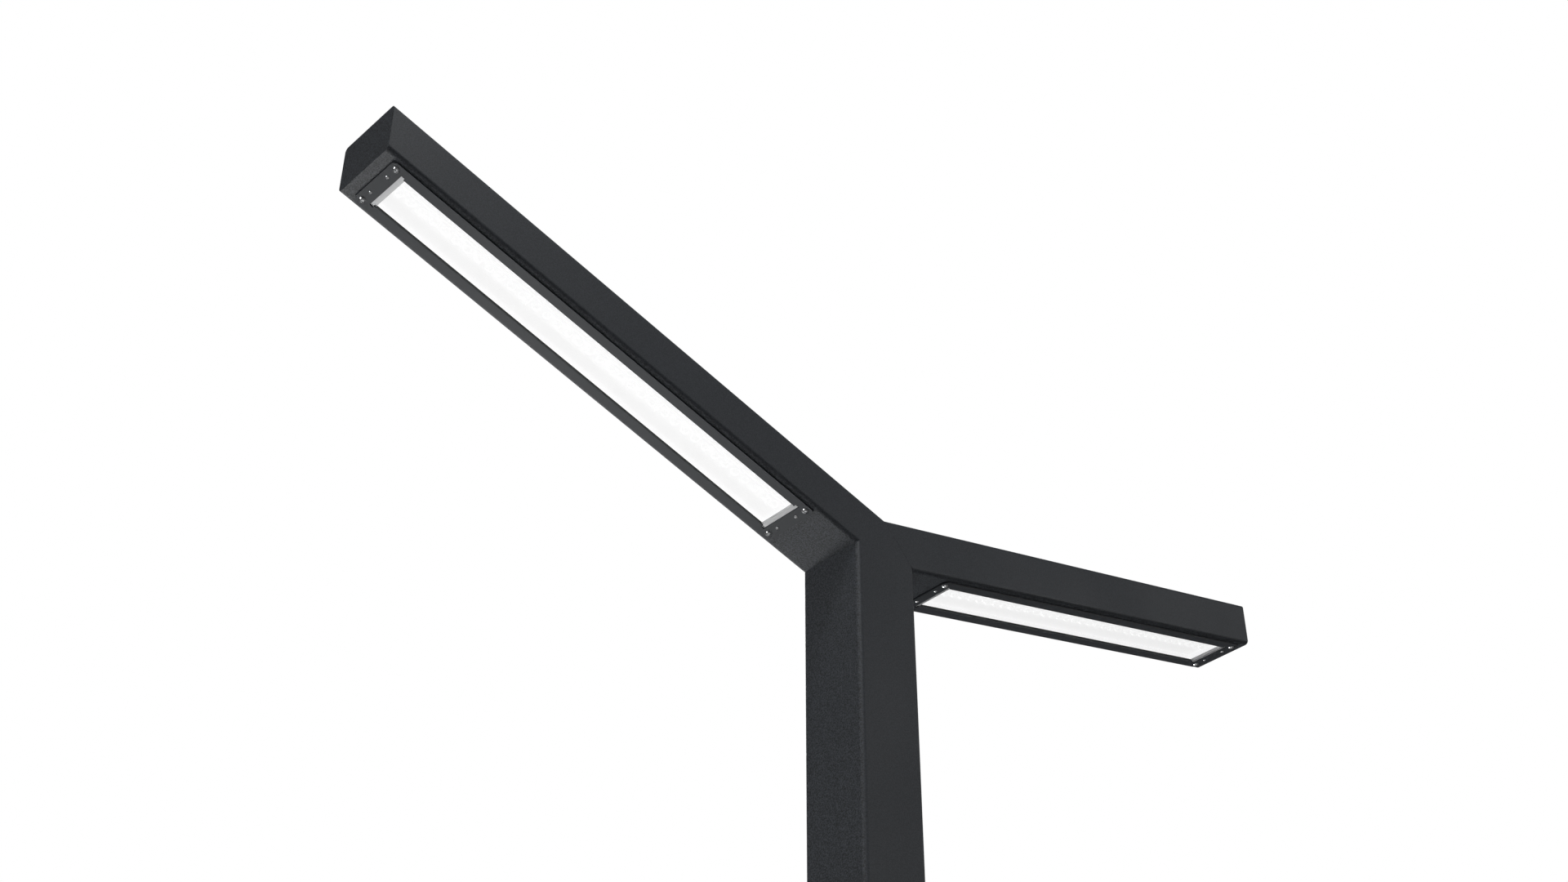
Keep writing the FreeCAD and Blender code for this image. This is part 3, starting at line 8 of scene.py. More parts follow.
# %% Load the CAD model
import bpy
import bmesh
import json
import math
from mathutils import Matrix, Vector


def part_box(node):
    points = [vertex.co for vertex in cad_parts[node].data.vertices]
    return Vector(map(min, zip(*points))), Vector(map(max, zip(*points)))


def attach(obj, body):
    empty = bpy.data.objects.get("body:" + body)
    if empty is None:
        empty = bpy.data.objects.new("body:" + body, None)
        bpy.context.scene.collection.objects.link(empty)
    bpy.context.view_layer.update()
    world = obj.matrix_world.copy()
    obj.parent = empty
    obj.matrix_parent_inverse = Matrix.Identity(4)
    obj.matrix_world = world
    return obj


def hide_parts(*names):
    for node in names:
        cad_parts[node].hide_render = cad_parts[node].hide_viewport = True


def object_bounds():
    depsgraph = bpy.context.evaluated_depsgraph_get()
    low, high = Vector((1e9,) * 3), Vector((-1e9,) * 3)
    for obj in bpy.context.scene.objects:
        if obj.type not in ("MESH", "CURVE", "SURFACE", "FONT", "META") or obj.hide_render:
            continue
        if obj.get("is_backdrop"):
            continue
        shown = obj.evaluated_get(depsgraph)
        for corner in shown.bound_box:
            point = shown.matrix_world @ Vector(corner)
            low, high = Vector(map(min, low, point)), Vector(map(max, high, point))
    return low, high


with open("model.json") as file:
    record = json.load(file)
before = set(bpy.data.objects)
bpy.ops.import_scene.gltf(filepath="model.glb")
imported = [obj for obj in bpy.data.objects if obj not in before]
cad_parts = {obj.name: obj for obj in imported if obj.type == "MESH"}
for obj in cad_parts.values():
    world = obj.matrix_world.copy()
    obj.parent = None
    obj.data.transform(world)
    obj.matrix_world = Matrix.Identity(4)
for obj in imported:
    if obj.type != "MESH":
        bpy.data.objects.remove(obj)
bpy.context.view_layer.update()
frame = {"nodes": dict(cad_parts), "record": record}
nodes = frame["nodes"]

# %% [markdown]
# ## The camera
# A 50 mm lens stands low and to the left of the column and looks up at the head. The head could
# be framed by tracking an empty, but a fixed place and two angles are easier to repeat.

# %% Camera
camera_data = bpy.data.cameras.new("camera")
camera_data.lens, camera_data.sensor_width = 50, 36
camera = bpy.data.objects.new("camera", camera_data)
camera.location = (-1.9755, -1.9671, 1.8442)
LOOK_UP, LOOK_ROUND = 36.831, -42.781
camera.rotation_euler = (math.radians(90 + LOOK_UP), 0, math.radians(LOOK_ROUND))
bpy.context.scene.collection.objects.link(camera)
bpy.context.scene.camera = camera
print("camera at", tuple(round(v, 3) for v in camera.location))

# %% [markdown]
# ## Floor, sky and lamps
# The floor is pale, and the background is white. A white sky that also lit the column would grey
# its dark paint, so the sky is white only where it is seen, and dim where it lights.
# Soft area lamps then give each side of the paint its own depth of grey.

# %% Floor
FLOOR_REACH = 40
corners = [(x * FLOOR_REACH, y * FLOOR_REACH, 0) for x, y in ((-1, -1), (1, -1), (1, 1), (-1, 1))]
floor_mesh = bpy.data.meshes.new("floor")
floor_mesh.from_pydata(corners, [], [(0, 1, 2, 3)])
floor = bpy.data.objects.new("floor", floor_mesh)
bpy.context.scene.collection.objects.link(floor)
floor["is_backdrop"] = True
print("floor", 2 * FLOOR_REACH, "m square")

# %% Sky
world = bpy.data.worlds.new("studio")
world.use_nodes = True
bpy.context.scene.world = world
sky = world.node_tree
seen, lights = sky.nodes["Background"], sky.nodes.new("ShaderNodeBackground")
seen.inputs["Color"].default_value = (1, 1, 1, 1)
lights.inputs["Color"].default_value = (1, 1, 1, 1)
SKY_STRENGTH = 0.08
lights.inputs["Strength"].default_value = SKY_STRENGTH
which, path = sky.nodes.new("ShaderNodeMixShader"), sky.nodes.new("ShaderNodeLightPath")
sky.links.new(path.outputs["Is Camera Ray"], which.inputs[0])
sky.links.new(lights.outputs[0], which.inputs[1])
sky.links.new(seen.outputs[0], which.inputs[2])
sky.links.new(which.outputs[0], sky.nodes["World Output"].inputs["Surface"])
bpy.context.scene.view_settings.view_transform = "Standard"
print("sky lights at", SKY_STRENGTH)


# %% Lamps
def lamp(name, place, aim, size, watts, spread=180):
    data = bpy.data.lights.new(name, "AREA")
    data.shape, data.size, data.energy = "DISK", size, watts
    data.spread = math.radians(spread)
    made = bpy.data.objects.new(name, data)
    made.location = place
    made.rotation_euler = (Vector(aim) - Vector(place)).to_track_quat("-Z", "Y").to_euler()
    bpy.context.scene.collection.objects.link(made)
    print(name, "lamp,", watts, "W")


HEAD = (0, 0, 3.8)
lamp("key", (-1.1, -1.8, 6.9), HEAD, 1.5, 80)
lamp("left", (-7, 0.3, 3.5), (0, 0, 3.6), 2.8, 17.6, 60)
lamp("under", (0.1, 5.2, 0.3), HEAD, 2.4, 62, 90)
lamp("right", (5, -4, 6), (0, 0, 3.6), 2.5, 4.6, 60)
lamp("back", (2.2, 3.2, 6.4), (0, 0, 3.2), 2.0, 30, 90)
lamp("foot", (-2.4, -3.8, 2.6), (0, 0, 0.5), 1.5, 22, 50)
lamp("heel", (2.4, 3.8, 2.6), (0, 0, 0.5), 1.5, 18, 50)

# %% [markdown]
# ## A helper for finishes
# Every finish is a Principled shader fed by a few noise textures on Object coordinates, which
# are metres here, so a scale of 500 is a grain of 2 mm. Image textures would need unwrapping,
# and CAD meshes have no unwrapping, so procedural nodes suit them better.


# %% Finish helper
class Finish:
    def __init__(self, name, colour, roughness, metallic=0.0, **more):
        self.material = bpy.data.materials.new(name)
        self.material.use_nodes = True
        self.tree = self.material.node_tree
        self.shader = self.tree.nodes["Principled BSDF"]
        self.set(**{"Base Color": (*colour, 1), "Roughness": roughness, "Metallic": metallic, **more})
        self.place = self.tree.nodes.new("ShaderNodeTexCoord").outputs["Object"]

    def set(self, **values):
        for name, value in values.items():
            self.shader.inputs[name].default_value = value

    def node(self, kind, links=(), **inputs):
        made = self.tree.nodes.new(kind)
        for name, value in inputs.items():
            made.inputs[name.replace("_", " ")].default_value = value
        for name, source in dict(links).items():
            self.tree.links.new(source, made.inputs[name])
        return made

    def stretched(self, scale):
        mapping = self.node("ShaderNodeMapping", {"Vector": self.place})
        mapping.inputs["Scale"].default_value = scale
        return mapping.outputs["Vector"]

    def noise(self, scale, detail=3.0, place=None):
        made = self.node("ShaderNodeTexNoise", {"Vector": place or self.place}, Scale=scale, Detail=detail)
        return made.outputs["Fac"]

    def vary(self, factor, low, high, span=(0.3, 0.7)):
        made = self.node("ShaderNodeMapRange", {"Value": factor})
        for name, value in zip(("From Min", "From Max", "To Min", "To Max"), (*span, low, high)):
            made.inputs[name].default_value = value
        return made.outputs["Result"]

    def blend(self, factor, first, second, span=(0.3, 0.7)):
        made = self.tree.nodes.new("ShaderNodeValToRGB")
        self.tree.links.new(factor, made.inputs["Fac"])
        for stop, place, colour in zip(made.color_ramp.elements, span, (first, second)):
            stop.position, stop.color = place, (*colour, 1)
        return made.outputs["Color"]

    def feed(self, socket, source):
        self.tree.links.new(source, self.shader.inputs[socket])

    def bump(self, height, depth, strength=1.0):
        made = self.node("ShaderNodeBump", {"Height": height}, Distance=depth, Strength=strength)
        before = self.shader.inputs["Normal"].links
        if before:
            self.tree.links.new(before[0].from_socket, made.inputs["Normal"])
        self.feed("Normal", made.outputs["Normal"])


finishes = {}


def finish(name, colour, roughness, metallic=0.0, **more):
    finishes[name] = Finish(name, colour, roughness, metallic, **more)
    print(name, "finish, roughness", roughness)
    return finishes[name]


def glowing(name, grey, roughness, glow):
    """A white part that shines by itself."""
    return finish(name, (grey, grey, grey), roughness,
                  **{"Emission Color": (1, 1, 1, 1), "Emission Strength": glow})


# %% [markdown]
# ## Powder coat
# The steel is coated with a dark anthracite powder that cures to a sandy skin. Its speckle is
# painted stronger on the sides and undersides than on the fronts: painted shade and highlight of
# light grazing the grain there. The grain could be displaced, but it is well under a
# millimetre deep, and a bump gives the same look for nothing.

# %% Powder coat on the tubes
coat = finish("powder_coat", (0.035, 0.0393, 0.0455), 0.55)
SAND, SILT = 480, 800  # grains to the metre
sand, silt, cloud = coat.noise(SAND, 2.0), coat.noise(SILT, 2.0), coat.noise(3, 2.0)
# Faces turned away from the front take more of the coarse speckle: painted shade and highlight of grazing light
# on the sides and undersides.
surface = coat.node("ShaderNodeNewGeometry")
facing = coat.node("ShaderNodeSeparateXYZ", {"Vector": surface.outputs["True Normal"]})
front = coat.node("ShaderNodeMath", {0: facing.outputs["Y"]})
front.operation = "ABSOLUTE"
painted_grazing_share = coat.vary(front.outputs[0], 1.0, 0.3, (0.3, 0.9))
# The coarse speckle's dark and light ends are grain plus painted grazing shade and highlight.
speckle_and_grazing_shade = coat.blend(sand, (0.011, 0.0124, 0.0143), (0.066, 0.0741, 0.0858), (0.36, 0.66))
fine = coat.blend(silt, (0.0243, 0.0281, 0.034), (0.0437, 0.0505, 0.0612), (0.36, 0.66))
grain = coat.node("ShaderNodeMix", {"Factor": painted_grazing_share})
grain.data_type = "RGBA"
coat.tree.links.new(fine, grain.inputs[6])
coat.tree.links.new(speckle_and_grazing_shade, grain.inputs[7])
coat.feed("Base Color", grain.outputs[2])
coat.feed("Roughness", coat.vary(cloud, 0.5, 0.62))
coat.bump(sand, 0.0006, 0.3)
coat.bump(silt, 0.0003, 0.5)
print("powder coat: sand grain of", round(1000 / SILT, 1), "to", round(1000 / SAND, 1), "mm")

# %% Smoother coat on the window plates
plate = finish("plate_coat", (0.031, 0.0348, 0.0403), 0.58)
orange_peel, cloud = plate.noise(160, 1.0), plate.noise(4, 2.0)
plate.feed("Roughness", plate.vary(cloud, 0.55, 0.62))
plate.feed("Base Color", plate.blend(cloud, (0.0292, 0.0328, 0.038), (0.033, 0.037, 0.0428)))
plate.bump(orange_peel, 0.0003, 0.15)

# %% [markdown]
# ## Metals
# Zinc-plated steel is grey with soft cloudy spangle, stainless is cleaner and turned on a lathe,
# and the lock is chromed. One shared grey metal would do from far away, but screws and bars of
# different metals sit side by side here, and each has its own roughness and tint.

# %% Zinc plating
zinc = finish("zinc_steel", (0.55, 0.56, 0.57), 0.38, 1.0)
spangle = zinc.noise(120, 3.0)
zinc.feed("Base Color", zinc.blend(spangle, (0.48, 0.49, 0.50), (0.64, 0.64, 0.63)))
zinc.feed("Roughness", zinc.vary(zinc.noise(60), 0.3, 0.5))

# %% Stainless steel
steel = finish("stainless", (0.72, 0.73, 0.74), 0.22, 1.0)
lathe_marks = steel.noise(2500, 1.0)
steel.feed("Roughness", steel.vary(lathe_marks, 0.16, 0.32))
steel.bump(lathe_marks, 0.00002, 0.3)

# %% Lock, brass and tinned copper
lock = finish("lock_metal", (0.66, 0.66, 0.67), 0.2, 1.0)
lock.feed("Roughness", lock.vary(lock.noise(400), 0.14, 0.3))
brass = finish("brass", (0.72, 0.52, 0.25), 0.3, 1.0)
brass.feed("Base Color", brass.blend(brass.noise(300), (0.62, 0.43, 0.20), (0.78, 0.58, 0.30)))
tin = finish("tinned_copper", (0.68, 0.66, 0.63), 0.35, 1.0)
tin.feed("Base Color", tin.blend(tin.noise(500), (0.60, 0.57, 0.53), (0.74, 0.72, 0.70)))

# %% Aluminium end bars
bar = finish("bar_aluminium", (0.56, 0.565, 0.57), 0.5, 0.5)
brushed = bar.noise(60, 4.0, bar.stretched((1, 40, 1)))
bar.feed("Roughness", bar.vary(brushed, 0.45, 0.6))
bar.feed("Base Color", bar.blend(brushed, (0.52, 0.525, 0.53), (0.60, 0.605, 0.61)))

# %% [markdown]
# ## The lit window
# White boards and a white tray shine behind a clear pane. They could be lit by a lamp at every
# LED, but 72 tiny lamps render noisily, and the glow here is even, so the white parts glow by
# themselves. The pane bends light very little, like a coated one, so that the far window, seen
# at a low angle, stays as white as the near one.

# %% Boards, tray, pane and lenses
board = glowing("board_white", 0.12, 0.5, 0.9)
board.feed("Base Color", board.blend(board.noise(90), (0.10, 0.10, 0.10), (0.14, 0.14, 0.14)))
tray = glowing("tray_white", 0.14, 0.5, 0.87)
tray.bump(tray.noise(250), 0.0001, 0.2)
tray.feed("Base Color", tray.blend(tray.noise(30), (0.12, 0.12, 0.12), (0.16, 0.16, 0.16)))
pane = finish("pane_glass", (1, 1, 1), 0.05, **{"Transmission Weight": 1.0, "IOR": 1.1})
pane.feed("Roughness", pane.vary(pane.noise(8), 0.03, 0.08))
lens = glowing("lens_clear", 0.08, 0.3, 0.93)
lens.feed("Roughness", lens.vary(lens.noise(200), 0.25, 0.35))

# %% [markdown]
# ## Plastics, rubber and cable
# The parts behind the door are moulded or drawn plastic. Flat colours would make them look like
# clay, and detailed shaders would be lost in the dark of the column, so each gets a faint bump
# and a little change of gloss from one loop.

# %% Plastics
PLASTICS = {
    "driver_case": ((0.50, 0.51, 0.52), 0.45, 220),
    "box_grey": ((0.42, 0.43, 0.44), 0.5, 350),
    "gland_black": ((0.022, 0.022, 0.024), 0.42, 500),
    "terminal_grey": ((0.33, 0.34, 0.35), 0.5, 450),
    "black_seal": ((0.016, 0.016, 0.017), 0.72, 600),
    "cable_black": ((0.018, 0.018, 0.020), 0.5, 700),
    "earth_green": ((0.10, 0.38, 0.06), 0.45, 700),
}
for name, (colour, gloss, grain) in PLASTICS.items():
    made = finish(name, colour, gloss)
    skin = made.noise(grain, 2.0)
    made.feed("Base Color", made.blend(skin, [0.88 * c for c in colour], [1.1 * c for c in colour]))
    made.feed("Roughness", made.vary(made.noise(25), gloss - 0.06, gloss + 0.06))
    made.bump(skin, 0.0001, 0.4)
lid = finish("lid_clear", (0.75, 0.78, 0.80), 0.08, **{"Transmission Weight": 0.92, "IOR": 1.5})
lid.feed("Roughness", lid.vary(lid.noise(150), 0.05, 0.14))
print(len(finishes), "finishes")

# %% [markdown]
# ## Dressing the model and the floor
# The CAD model names a material slot for each node, so its finishes are looked up by that name
# and not chosen by hand. The floor is dressed here too. A plain floor would end in a hard line
# against the white sky, so it fades to white with distance.

# %% Give each CAD node the finish of its slot
FINISH_OF = {"driver_screws": "tray_white"}  # their heads take the tray's glowing white: painted light, so they show no dark dot in the lit window
for part in frame["record"]["subparts"]:
    slots = nodes[part["node"]].data.materials
    slots.clear()
    slots.append(finishes[FINISH_OF.get(part["node"], part["material_slot"])].material)
print(len(nodes), "CAD nodes dressed")

# %% The floor's own finish, which fades to white far away
pale = Finish("pale_floor", (0.7, 0.7, 0.7), 0.8)
pale.feed("Base Color", pale.blend(pale.noise(2), (0.68, 0.68, 0.68), (0.72, 0.72, 0.72)))
glow = pale.node("ShaderNodeEmission", Color=(1, 1, 1, 1))
FADE = (3, 12)  # metres from the column
afar = pale.node("ShaderNodeVectorMath", {0: pale.place})
afar.operation = "LENGTH"
pale.tree.links.new(pale.vary(afar.outputs["Value"], 0.86, 1.0, FADE), glow.inputs["Strength"])
share = pale.node("ShaderNodeMath", {0: pale.node("ShaderNodeLightPath").outputs["Is Camera Ray"],
                                     1: pale.vary(afar.outputs["Value"], 0.7, 1.0, FADE)})
share.operation = "MULTIPLY"
both = pale.node("ShaderNodeMixShader", {0: share.outputs[0], 1: pale.shader.outputs[0], 2: glow.outputs[0]})
pale.tree.links.new(both.outputs[0], pale.tree.nodes["Material Output"].inputs["Surface"])
floor.data.materials.append(pale.material)
print("floor fades from", FADE[0], "to", FADE[1], "m")

# %% [markdown]
# ## Placing pieces by the CAD model
# Each window and its LEDs lie in a cassette that slopes with its arm. The middle of the cover
# plate's box gives the cassette's place, so nothing is fitted by eye.

# %% The frame of each cassette
ARM_SLOPE = math.radians(15)
PLATE_MIDDLE = -0.00175
BOARD_FACE = 0.0125


def cassette(side):
    """From a cassette's own axes (along the arm, across it, and up into it) to the model's."""
    low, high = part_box(side + "_window_plate")
    way = 1 if side == "right" else -1
    along = Vector((way * math.cos(ARM_SLOPE), 0, math.sin(ARM_SLOPE)))
    inward = Vector((-way * math.sin(ARM_SLOPE), 0, math.cos(ARM_SLOPE)))
    turn = Matrix((along, inward.cross(along), inward)).transposed().to_4x4()
    return Matrix.Translation((low + high) / 2 - inward * PLATE_MIDDLE) @ turn


for side in ("left", "right"):
    print(side, "cassette at", [round(v, 4) for v in cassette(side).translation])

# %% [markdown]
# ## A helper for Geometry Nodes
# Lenses, screws, ribs and weld ripples repeat, so each is drawn once and copied by a node tree.
# Copying in a Python loop would work too, but a tree keeps its sizes as named inputs that can be
# changed by hand. The result is turned into a plain mesh, because the export drops instances.


# %% Node tree helper
class Tree:
    def __init__(self, name, **inputs):
        self.group = bpy.data.node_groups.new(name, "GeometryNodeTree")
        face = self.group.interface
        face.new_socket("Geometry", in_out="INPUT", socket_type="NodeSocketGeometry")
        kinds = {float: "NodeSocketFloat", int: "NodeSocketInt", str: "NodeSocketObject"}
        for label, kind in inputs.items():
            face.new_socket(label.replace("_", " "), in_out="INPUT", socket_type=kinds[kind])
        face.new_socket("Geometry", in_out="OUTPUT", socket_type="NodeSocketGeometry")
        self.given = self.node("NodeGroupInput").outputs

    def node(self, kind, links=(), **inputs):
        made = self.group.nodes.new(kind)
        for name, value in inputs.items():
            made.inputs[name.replace("_", " ")].default_value = value
        for name, source in dict(links).items():
            self.group.links.new(source, made.inputs[name])
        return made

    def template(self):
        """The object that is copied, with its own place left out."""
        return self.node("GeometryNodeObjectInfo", {"Object": self.given["Template"]}).outputs["Geometry"]

    def close(self, instances, finish_name):
        real = self.node("GeometryNodeRealizeInstances", {"Geometry": instances})
        dress = self.node("GeometryNodeSetMaterial", {"Geometry": real.outputs[0]})
        dress.inputs["Material"].default_value = finishes[finish_name].material
        self.end(dress.outputs[0])

    def end(self, geometry):
        self.node("NodeGroupOutput", {0: geometry})
        print(self.group.name, "tree of", len(self.group.nodes), "nodes")


def grow(name, tree, body, slot, base=None, place=None, **sizes):
    """Runs a tree on a base mesh and keeps the result as one plain piece on a body."""
    start = bpy.data.objects.new("start", base or bpy.data.meshes.new("start"))
    bpy.context.scene.collection.objects.link(start)
    modifier = start.modifiers.new("grow", "NODES")
    modifier.node_group = tree.group
    for item in tree.group.interface.items_tree:
        label = item.name.replace(" ", "_")
        if item.in_out == "INPUT" and label in sizes:
            modifier[item.identifier] = sizes[label]
    start.update_tag()
    graph = bpy.context.evaluated_depsgraph_get()
    mesh = bpy.data.meshes.new_from_object(start.evaluated_get(graph), depsgraph=graph)
    bpy.data.objects.remove(start)
    if place:
        mesh.transform(place)
    return keep(name, mesh, body)


def keep(name, mesh, body):
    mesh.name = name
    mesh.polygons.foreach_set("use_smooth", [True] * len(mesh.polygons))
    piece = bpy.data.objects.new(name, mesh)
    bpy.context.scene.collection.objects.link(piece)
    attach(piece, body)
    print(name, len(mesh.polygons), "faces")
    return piece


def turned(name, outline, sides=12):
    """A closed shape turned about Z, from (radius, height) points that start and end on the axis."""
    shape = bmesh.new()
    rings = []
    ways = [(math.cos(math.tau * i / sides), math.sin(math.tau * i / sides)) for i in range(sides)]
    for radius, height in outline:
        count = sides if radius else 1
        rings.append([shape.verts.new((radius * x, radius * y, height)) for x, y in ways[:count]])
    for lower, upper in zip(rings, rings[1:]):
        for i in range(sides):
            ring = [lower[i % len(lower)], lower[(i + 1) % len(lower)],
                    upper[(i + 1) % len(upper)], upper[i % len(upper)]]
            shape.faces.new(list(dict.fromkeys(ring)))
    bmesh.ops.recalc_face_normals(shape, faces=shape.faces)
    mesh = bpy.data.meshes.new(name)
    shape.to_mesh(mesh)
    return bpy.data.objects.new(name, mesh)


# %% [markdown]
# ## LED lenses
# Twelve small moulded domes stand on each board, one over each LED. The CAD model has plain
# caps, and these replace them with a rim, a step and a rounder crown. Clear glass domes over
# glowing boards render as dark speckles, so they glow too. Each is under a hundred faces,
# because there are 72.

# %% A tree for rows of rows
rows = Tree("rows", Template=str, Groups=int, Group_pitch=float, Count=int, Pitch=float)


def centred_line(tree, count, pitch):
    """Points along X, evenly about the origin."""
    steps = tree.node("ShaderNodeMath", {0: count})
    steps.operation, steps.inputs[1].default_value = "SUBTRACT", 1
    half = tree.node("ShaderNodeMath", {0: steps.outputs[0], 1: pitch})
    half.operation = "MULTIPLY"
    start = tree.node("ShaderNodeMath", {0: half.outputs[0]})
    start.operation, start.inputs[1].default_value = "MULTIPLY", -0.5
    corner = tree.node("ShaderNodeCombineXYZ", {"X": start.outputs[0]})
    step = tree.node("ShaderNodeCombineXYZ", {"X": pitch})
    line = tree.node("GeometryNodeMeshLine", {"Count": count, "Start Location": corner.outputs[0],
                                              "Offset": step.outputs[0]})
    return line.outputs[0]


outer = centred_line(rows, rows.given["Groups"], rows.given["Group pitch"])
inner = centred_line(rows, rows.given["Count"], rows.given["Pitch"])
lines = rows.node("GeometryNodeInstanceOnPoints", {"Points": outer, "Instance": inner})
spots = rows.node("GeometryNodeRealizeInstances", {"Geometry": lines.outputs[0]})
copies = rows.node("GeometryNodeInstanceOnPoints", {"Points": spots.outputs[0], "Instance": rows.template()})
rows.close(copies.outputs[0], "lens_clear")

# %% The lens and its rows
LENS_RADIUS, LENS_HEIGHT = 0.0065, 0.0045
LIFT, RIM, CROWN_RADIUS, CROWN_START = 0.00005, 0.0008, 0.0059, 0.0010
outline = [(0, LIFT), (LENS_RADIUS, LIFT), (LENS_RADIUS, RIM), (CROWN_RADIUS, CROWN_START)]
outline += [(CROWN_RADIUS * math.cos(a), CROWN_START + (LENS_HEIGHT - CROWN_START) * math.sin(a))
            for a in map(math.radians, (30, 55, 75))]
dome = turned("lens", outline + [(0, LENS_HEIGHT)])
for side in ("left", "right"):
    downward = Matrix.Translation((0, 0, BOARD_FACE)) @ Matrix.Rotation(math.pi, 4, "X")
    lenses = grow(side + "_lens_domes", rows, "column", "lens_clear", place=cassette(side) @ downward,
                  Template=dome, Groups=3, Group_pitch=0.25, Count=12, Pitch=0.0204)
    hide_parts(side + "_led_lenses")

# %% [markdown]
# ## Weld beads
# The column stands on its plate in a fillet weld, and the hinge tabs and the arms are welded on
# too. The right arm's mitre, front and back, still shows as a fine seam. A bead is a row of
# overlapping ripples, so a flattened ball is copied along the joint, which follows bends better
# than a modelled bead would. The ripples differ in size, as they do under a welder's hand.

# %% A tree for a rippled bead
bead = Tree("bead", Template=str, Ripple=float, Size=float, Seed=int)
route = bead.node("GeometryNodeMeshToCurve", {"Mesh": bead.given["Geometry"]})
along = bead.node("GeometryNodeResampleCurve", {"Curve": route.outputs[0]})
along.mode = "LENGTH"
bead.group.links.new(bead.given["Ripple"], along.inputs["Length"])
way = bead.node("GeometryNodeInputTangent")
turn = bead.node("FunctionNodeAlignRotationToVector", {"Vector": way.outputs[0]})
turn.axis = "X"
uneven = bead.node("FunctionNodeRandomValue", {"Seed": bead.given["Seed"]})
uneven.inputs[2].default_value, uneven.inputs[3].default_value = 0.88, 1.12
scale = bead.node("ShaderNodeMath", {0: uneven.outputs[1], 1: bead.given["Size"]})
scale.operation = "MULTIPLY"
ripples = bead.node("GeometryNodeInstanceOnPoints",
                    {"Points": along.outputs[0], "Instance": bead.template(),
                     "Rotation": turn.outputs[0], "Scale": scale.outputs[0]})
bead.close(ripples.outputs[0], "powder_coat")

rounds = [(math.cos(a), math.sin(a)) for a in map(math.radians, (-50, -15, 15, 50))]
ball = turned("ripple", [(0, -1), *rounds, (0, 1)], 8)
FLATTENED = 0.62
ball.data.transform(Matrix.Diagonal((FLATTENED, 1, 1, 1)))


def joint(routes):
    """The lines that a bead follows, each a list of points, closed where its ends are the same."""
    mesh = bpy.data.meshes.new("joint")
    points, edges = [], []
    for route in routes:
        closed = route[0] == route[-1]
        first = len(points)
        points += route[:-1] if closed else route
        last = len(points) - 1
        edges += [(i, i + 1) for i in range(first, last)] + ([(last, first)] if closed else [])
    mesh.from_pydata(points, edges, [])
    return mesh


# %% The column's foot
base_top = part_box("base_plate")[1].z
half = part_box("column_tube")[1].x
CORNER, FOOT_BEAD, CLEAR = 0.007, 0.004, 0.001
foot = []
for step in range(20):
    quarter, part = divmod(step, 5)
    angle = math.radians(90 * quarter + 22.5 * part)
    centre = Vector(((1, -1, -1, 1)[quarter], (1, 1, -1, -1)[quarter], 0)) * (half - CORNER)
    out = Vector((math.cos(angle), math.sin(angle), 0)) * (CORNER + CLEAR)
    foot.append(tuple(centre + out + Vector((0, 0, base_top + CLEAR))))
grow("foot_weld", bead, "column", "powder_coat", joint([foot + foot[:1]]),
     Template=ball, Ripple=0.0022, Size=FOOT_BEAD, Seed=3)

# %% The hinge tabs
TAB = 0.022
for node, body, edge in (("hinge_column_halves", "column", 0), ("hinge_door_halves", "door", 1)):
    low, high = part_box(node)
    x = (low, high)[edge].x
    runs = [[(x, -half, z), (x, -half, z + TAB)] for z in (low.z, high.z - TAB)]
    grow(node + "_weld", bead, body, "powder_coat", joint(runs),
         Template=ball, Ripple=0.0011, Size=0.0017, Seed=5)

# %% The mitres, ground almost flush
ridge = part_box("column_tube")[1].z
ARMPIT, SEAM, SUNK = 3.68, 0.0005, 0.0002
runs = [[(0, y, ridge), (half - CLEAR, y, ARMPIT + CLEAR)] for y in (SUNK - half, half - SUNK)]
grow("mitre_welds", bead, "column", "powder_coat", joint(runs),
     Template=ball, Ripple=0.0007, Size=SEAM, Seed=7)

# %% [markdown]
# ## Ribs on the cable glands
# A gland's dome nut is ribbed so that it can be tightened by hand. The ribs could be part of a
# turned outline, but then each size of gland would need its own. One rib is copied round a
# circle instead, and turned to face outwards.

# %% A tree for a ring of ribs
ring = Tree("ring", Template=str, Count=int, Radius=float)
circle = ring.node("GeometryNodeMeshCircle",
                   {"Vertices": ring.given["Count"], "Radius": ring.given["Radius"]})
centre_out = ring.node("GeometryNodeInputPosition")
outwards = ring.node("FunctionNodeAlignRotationToVector", {"Vector": centre_out.outputs[0]})
outwards.axis = "X"
ribs = ring.node("GeometryNodeInstanceOnPoints", {"Points": circle.outputs[0], "Instance": ring.template(),
                                                  "Rotation": outwards.outputs[0]})
ring.close(ribs.outputs[0], "gland_black")

# %% The ribs
CABLE_Y, RISER_X, EARTH_X = 0.020, 0.015, 0.0165
RIB, RIB_TAPER, RIB_SUNK = 0.0008, 0.0006, 0.0002
low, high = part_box("junction_box")
GLANDS = (  # where across the box, height, radius and length of each dome nut
    (RISER_X, high.z + 0.012, 0.0085, 0.010),
    (-RISER_X, high.z + 0.012, 0.0085, 0.010),
    (0.012, low.z - 0.013, 0.011, 0.012),
    (-EARTH_X, low.z - 0.0105, 0.006, 0.007),
)
for number, (x, z, radius, length) in enumerate(GLANDS):
    end = length / 2
    rib = turned("rib", [(0, -end), (RIB, RIB_TAPER - end), (RIB, end - RIB_TAPER), (0, end)], 6)
    grow(f"gland_ribs_{number}", ring, "column", "gland_black", place=Matrix.Translation((x, CABLE_Y, z)),
         Template=rib, Count=16, Radius=radius - RIB_SUNK)

# %% [markdown]
# ## Clamping screws
# Each way of the terminal block has a slotted screw. The slot is a real groove, made by pushing
# the middle of the head in, because a painted line would vanish from the side.

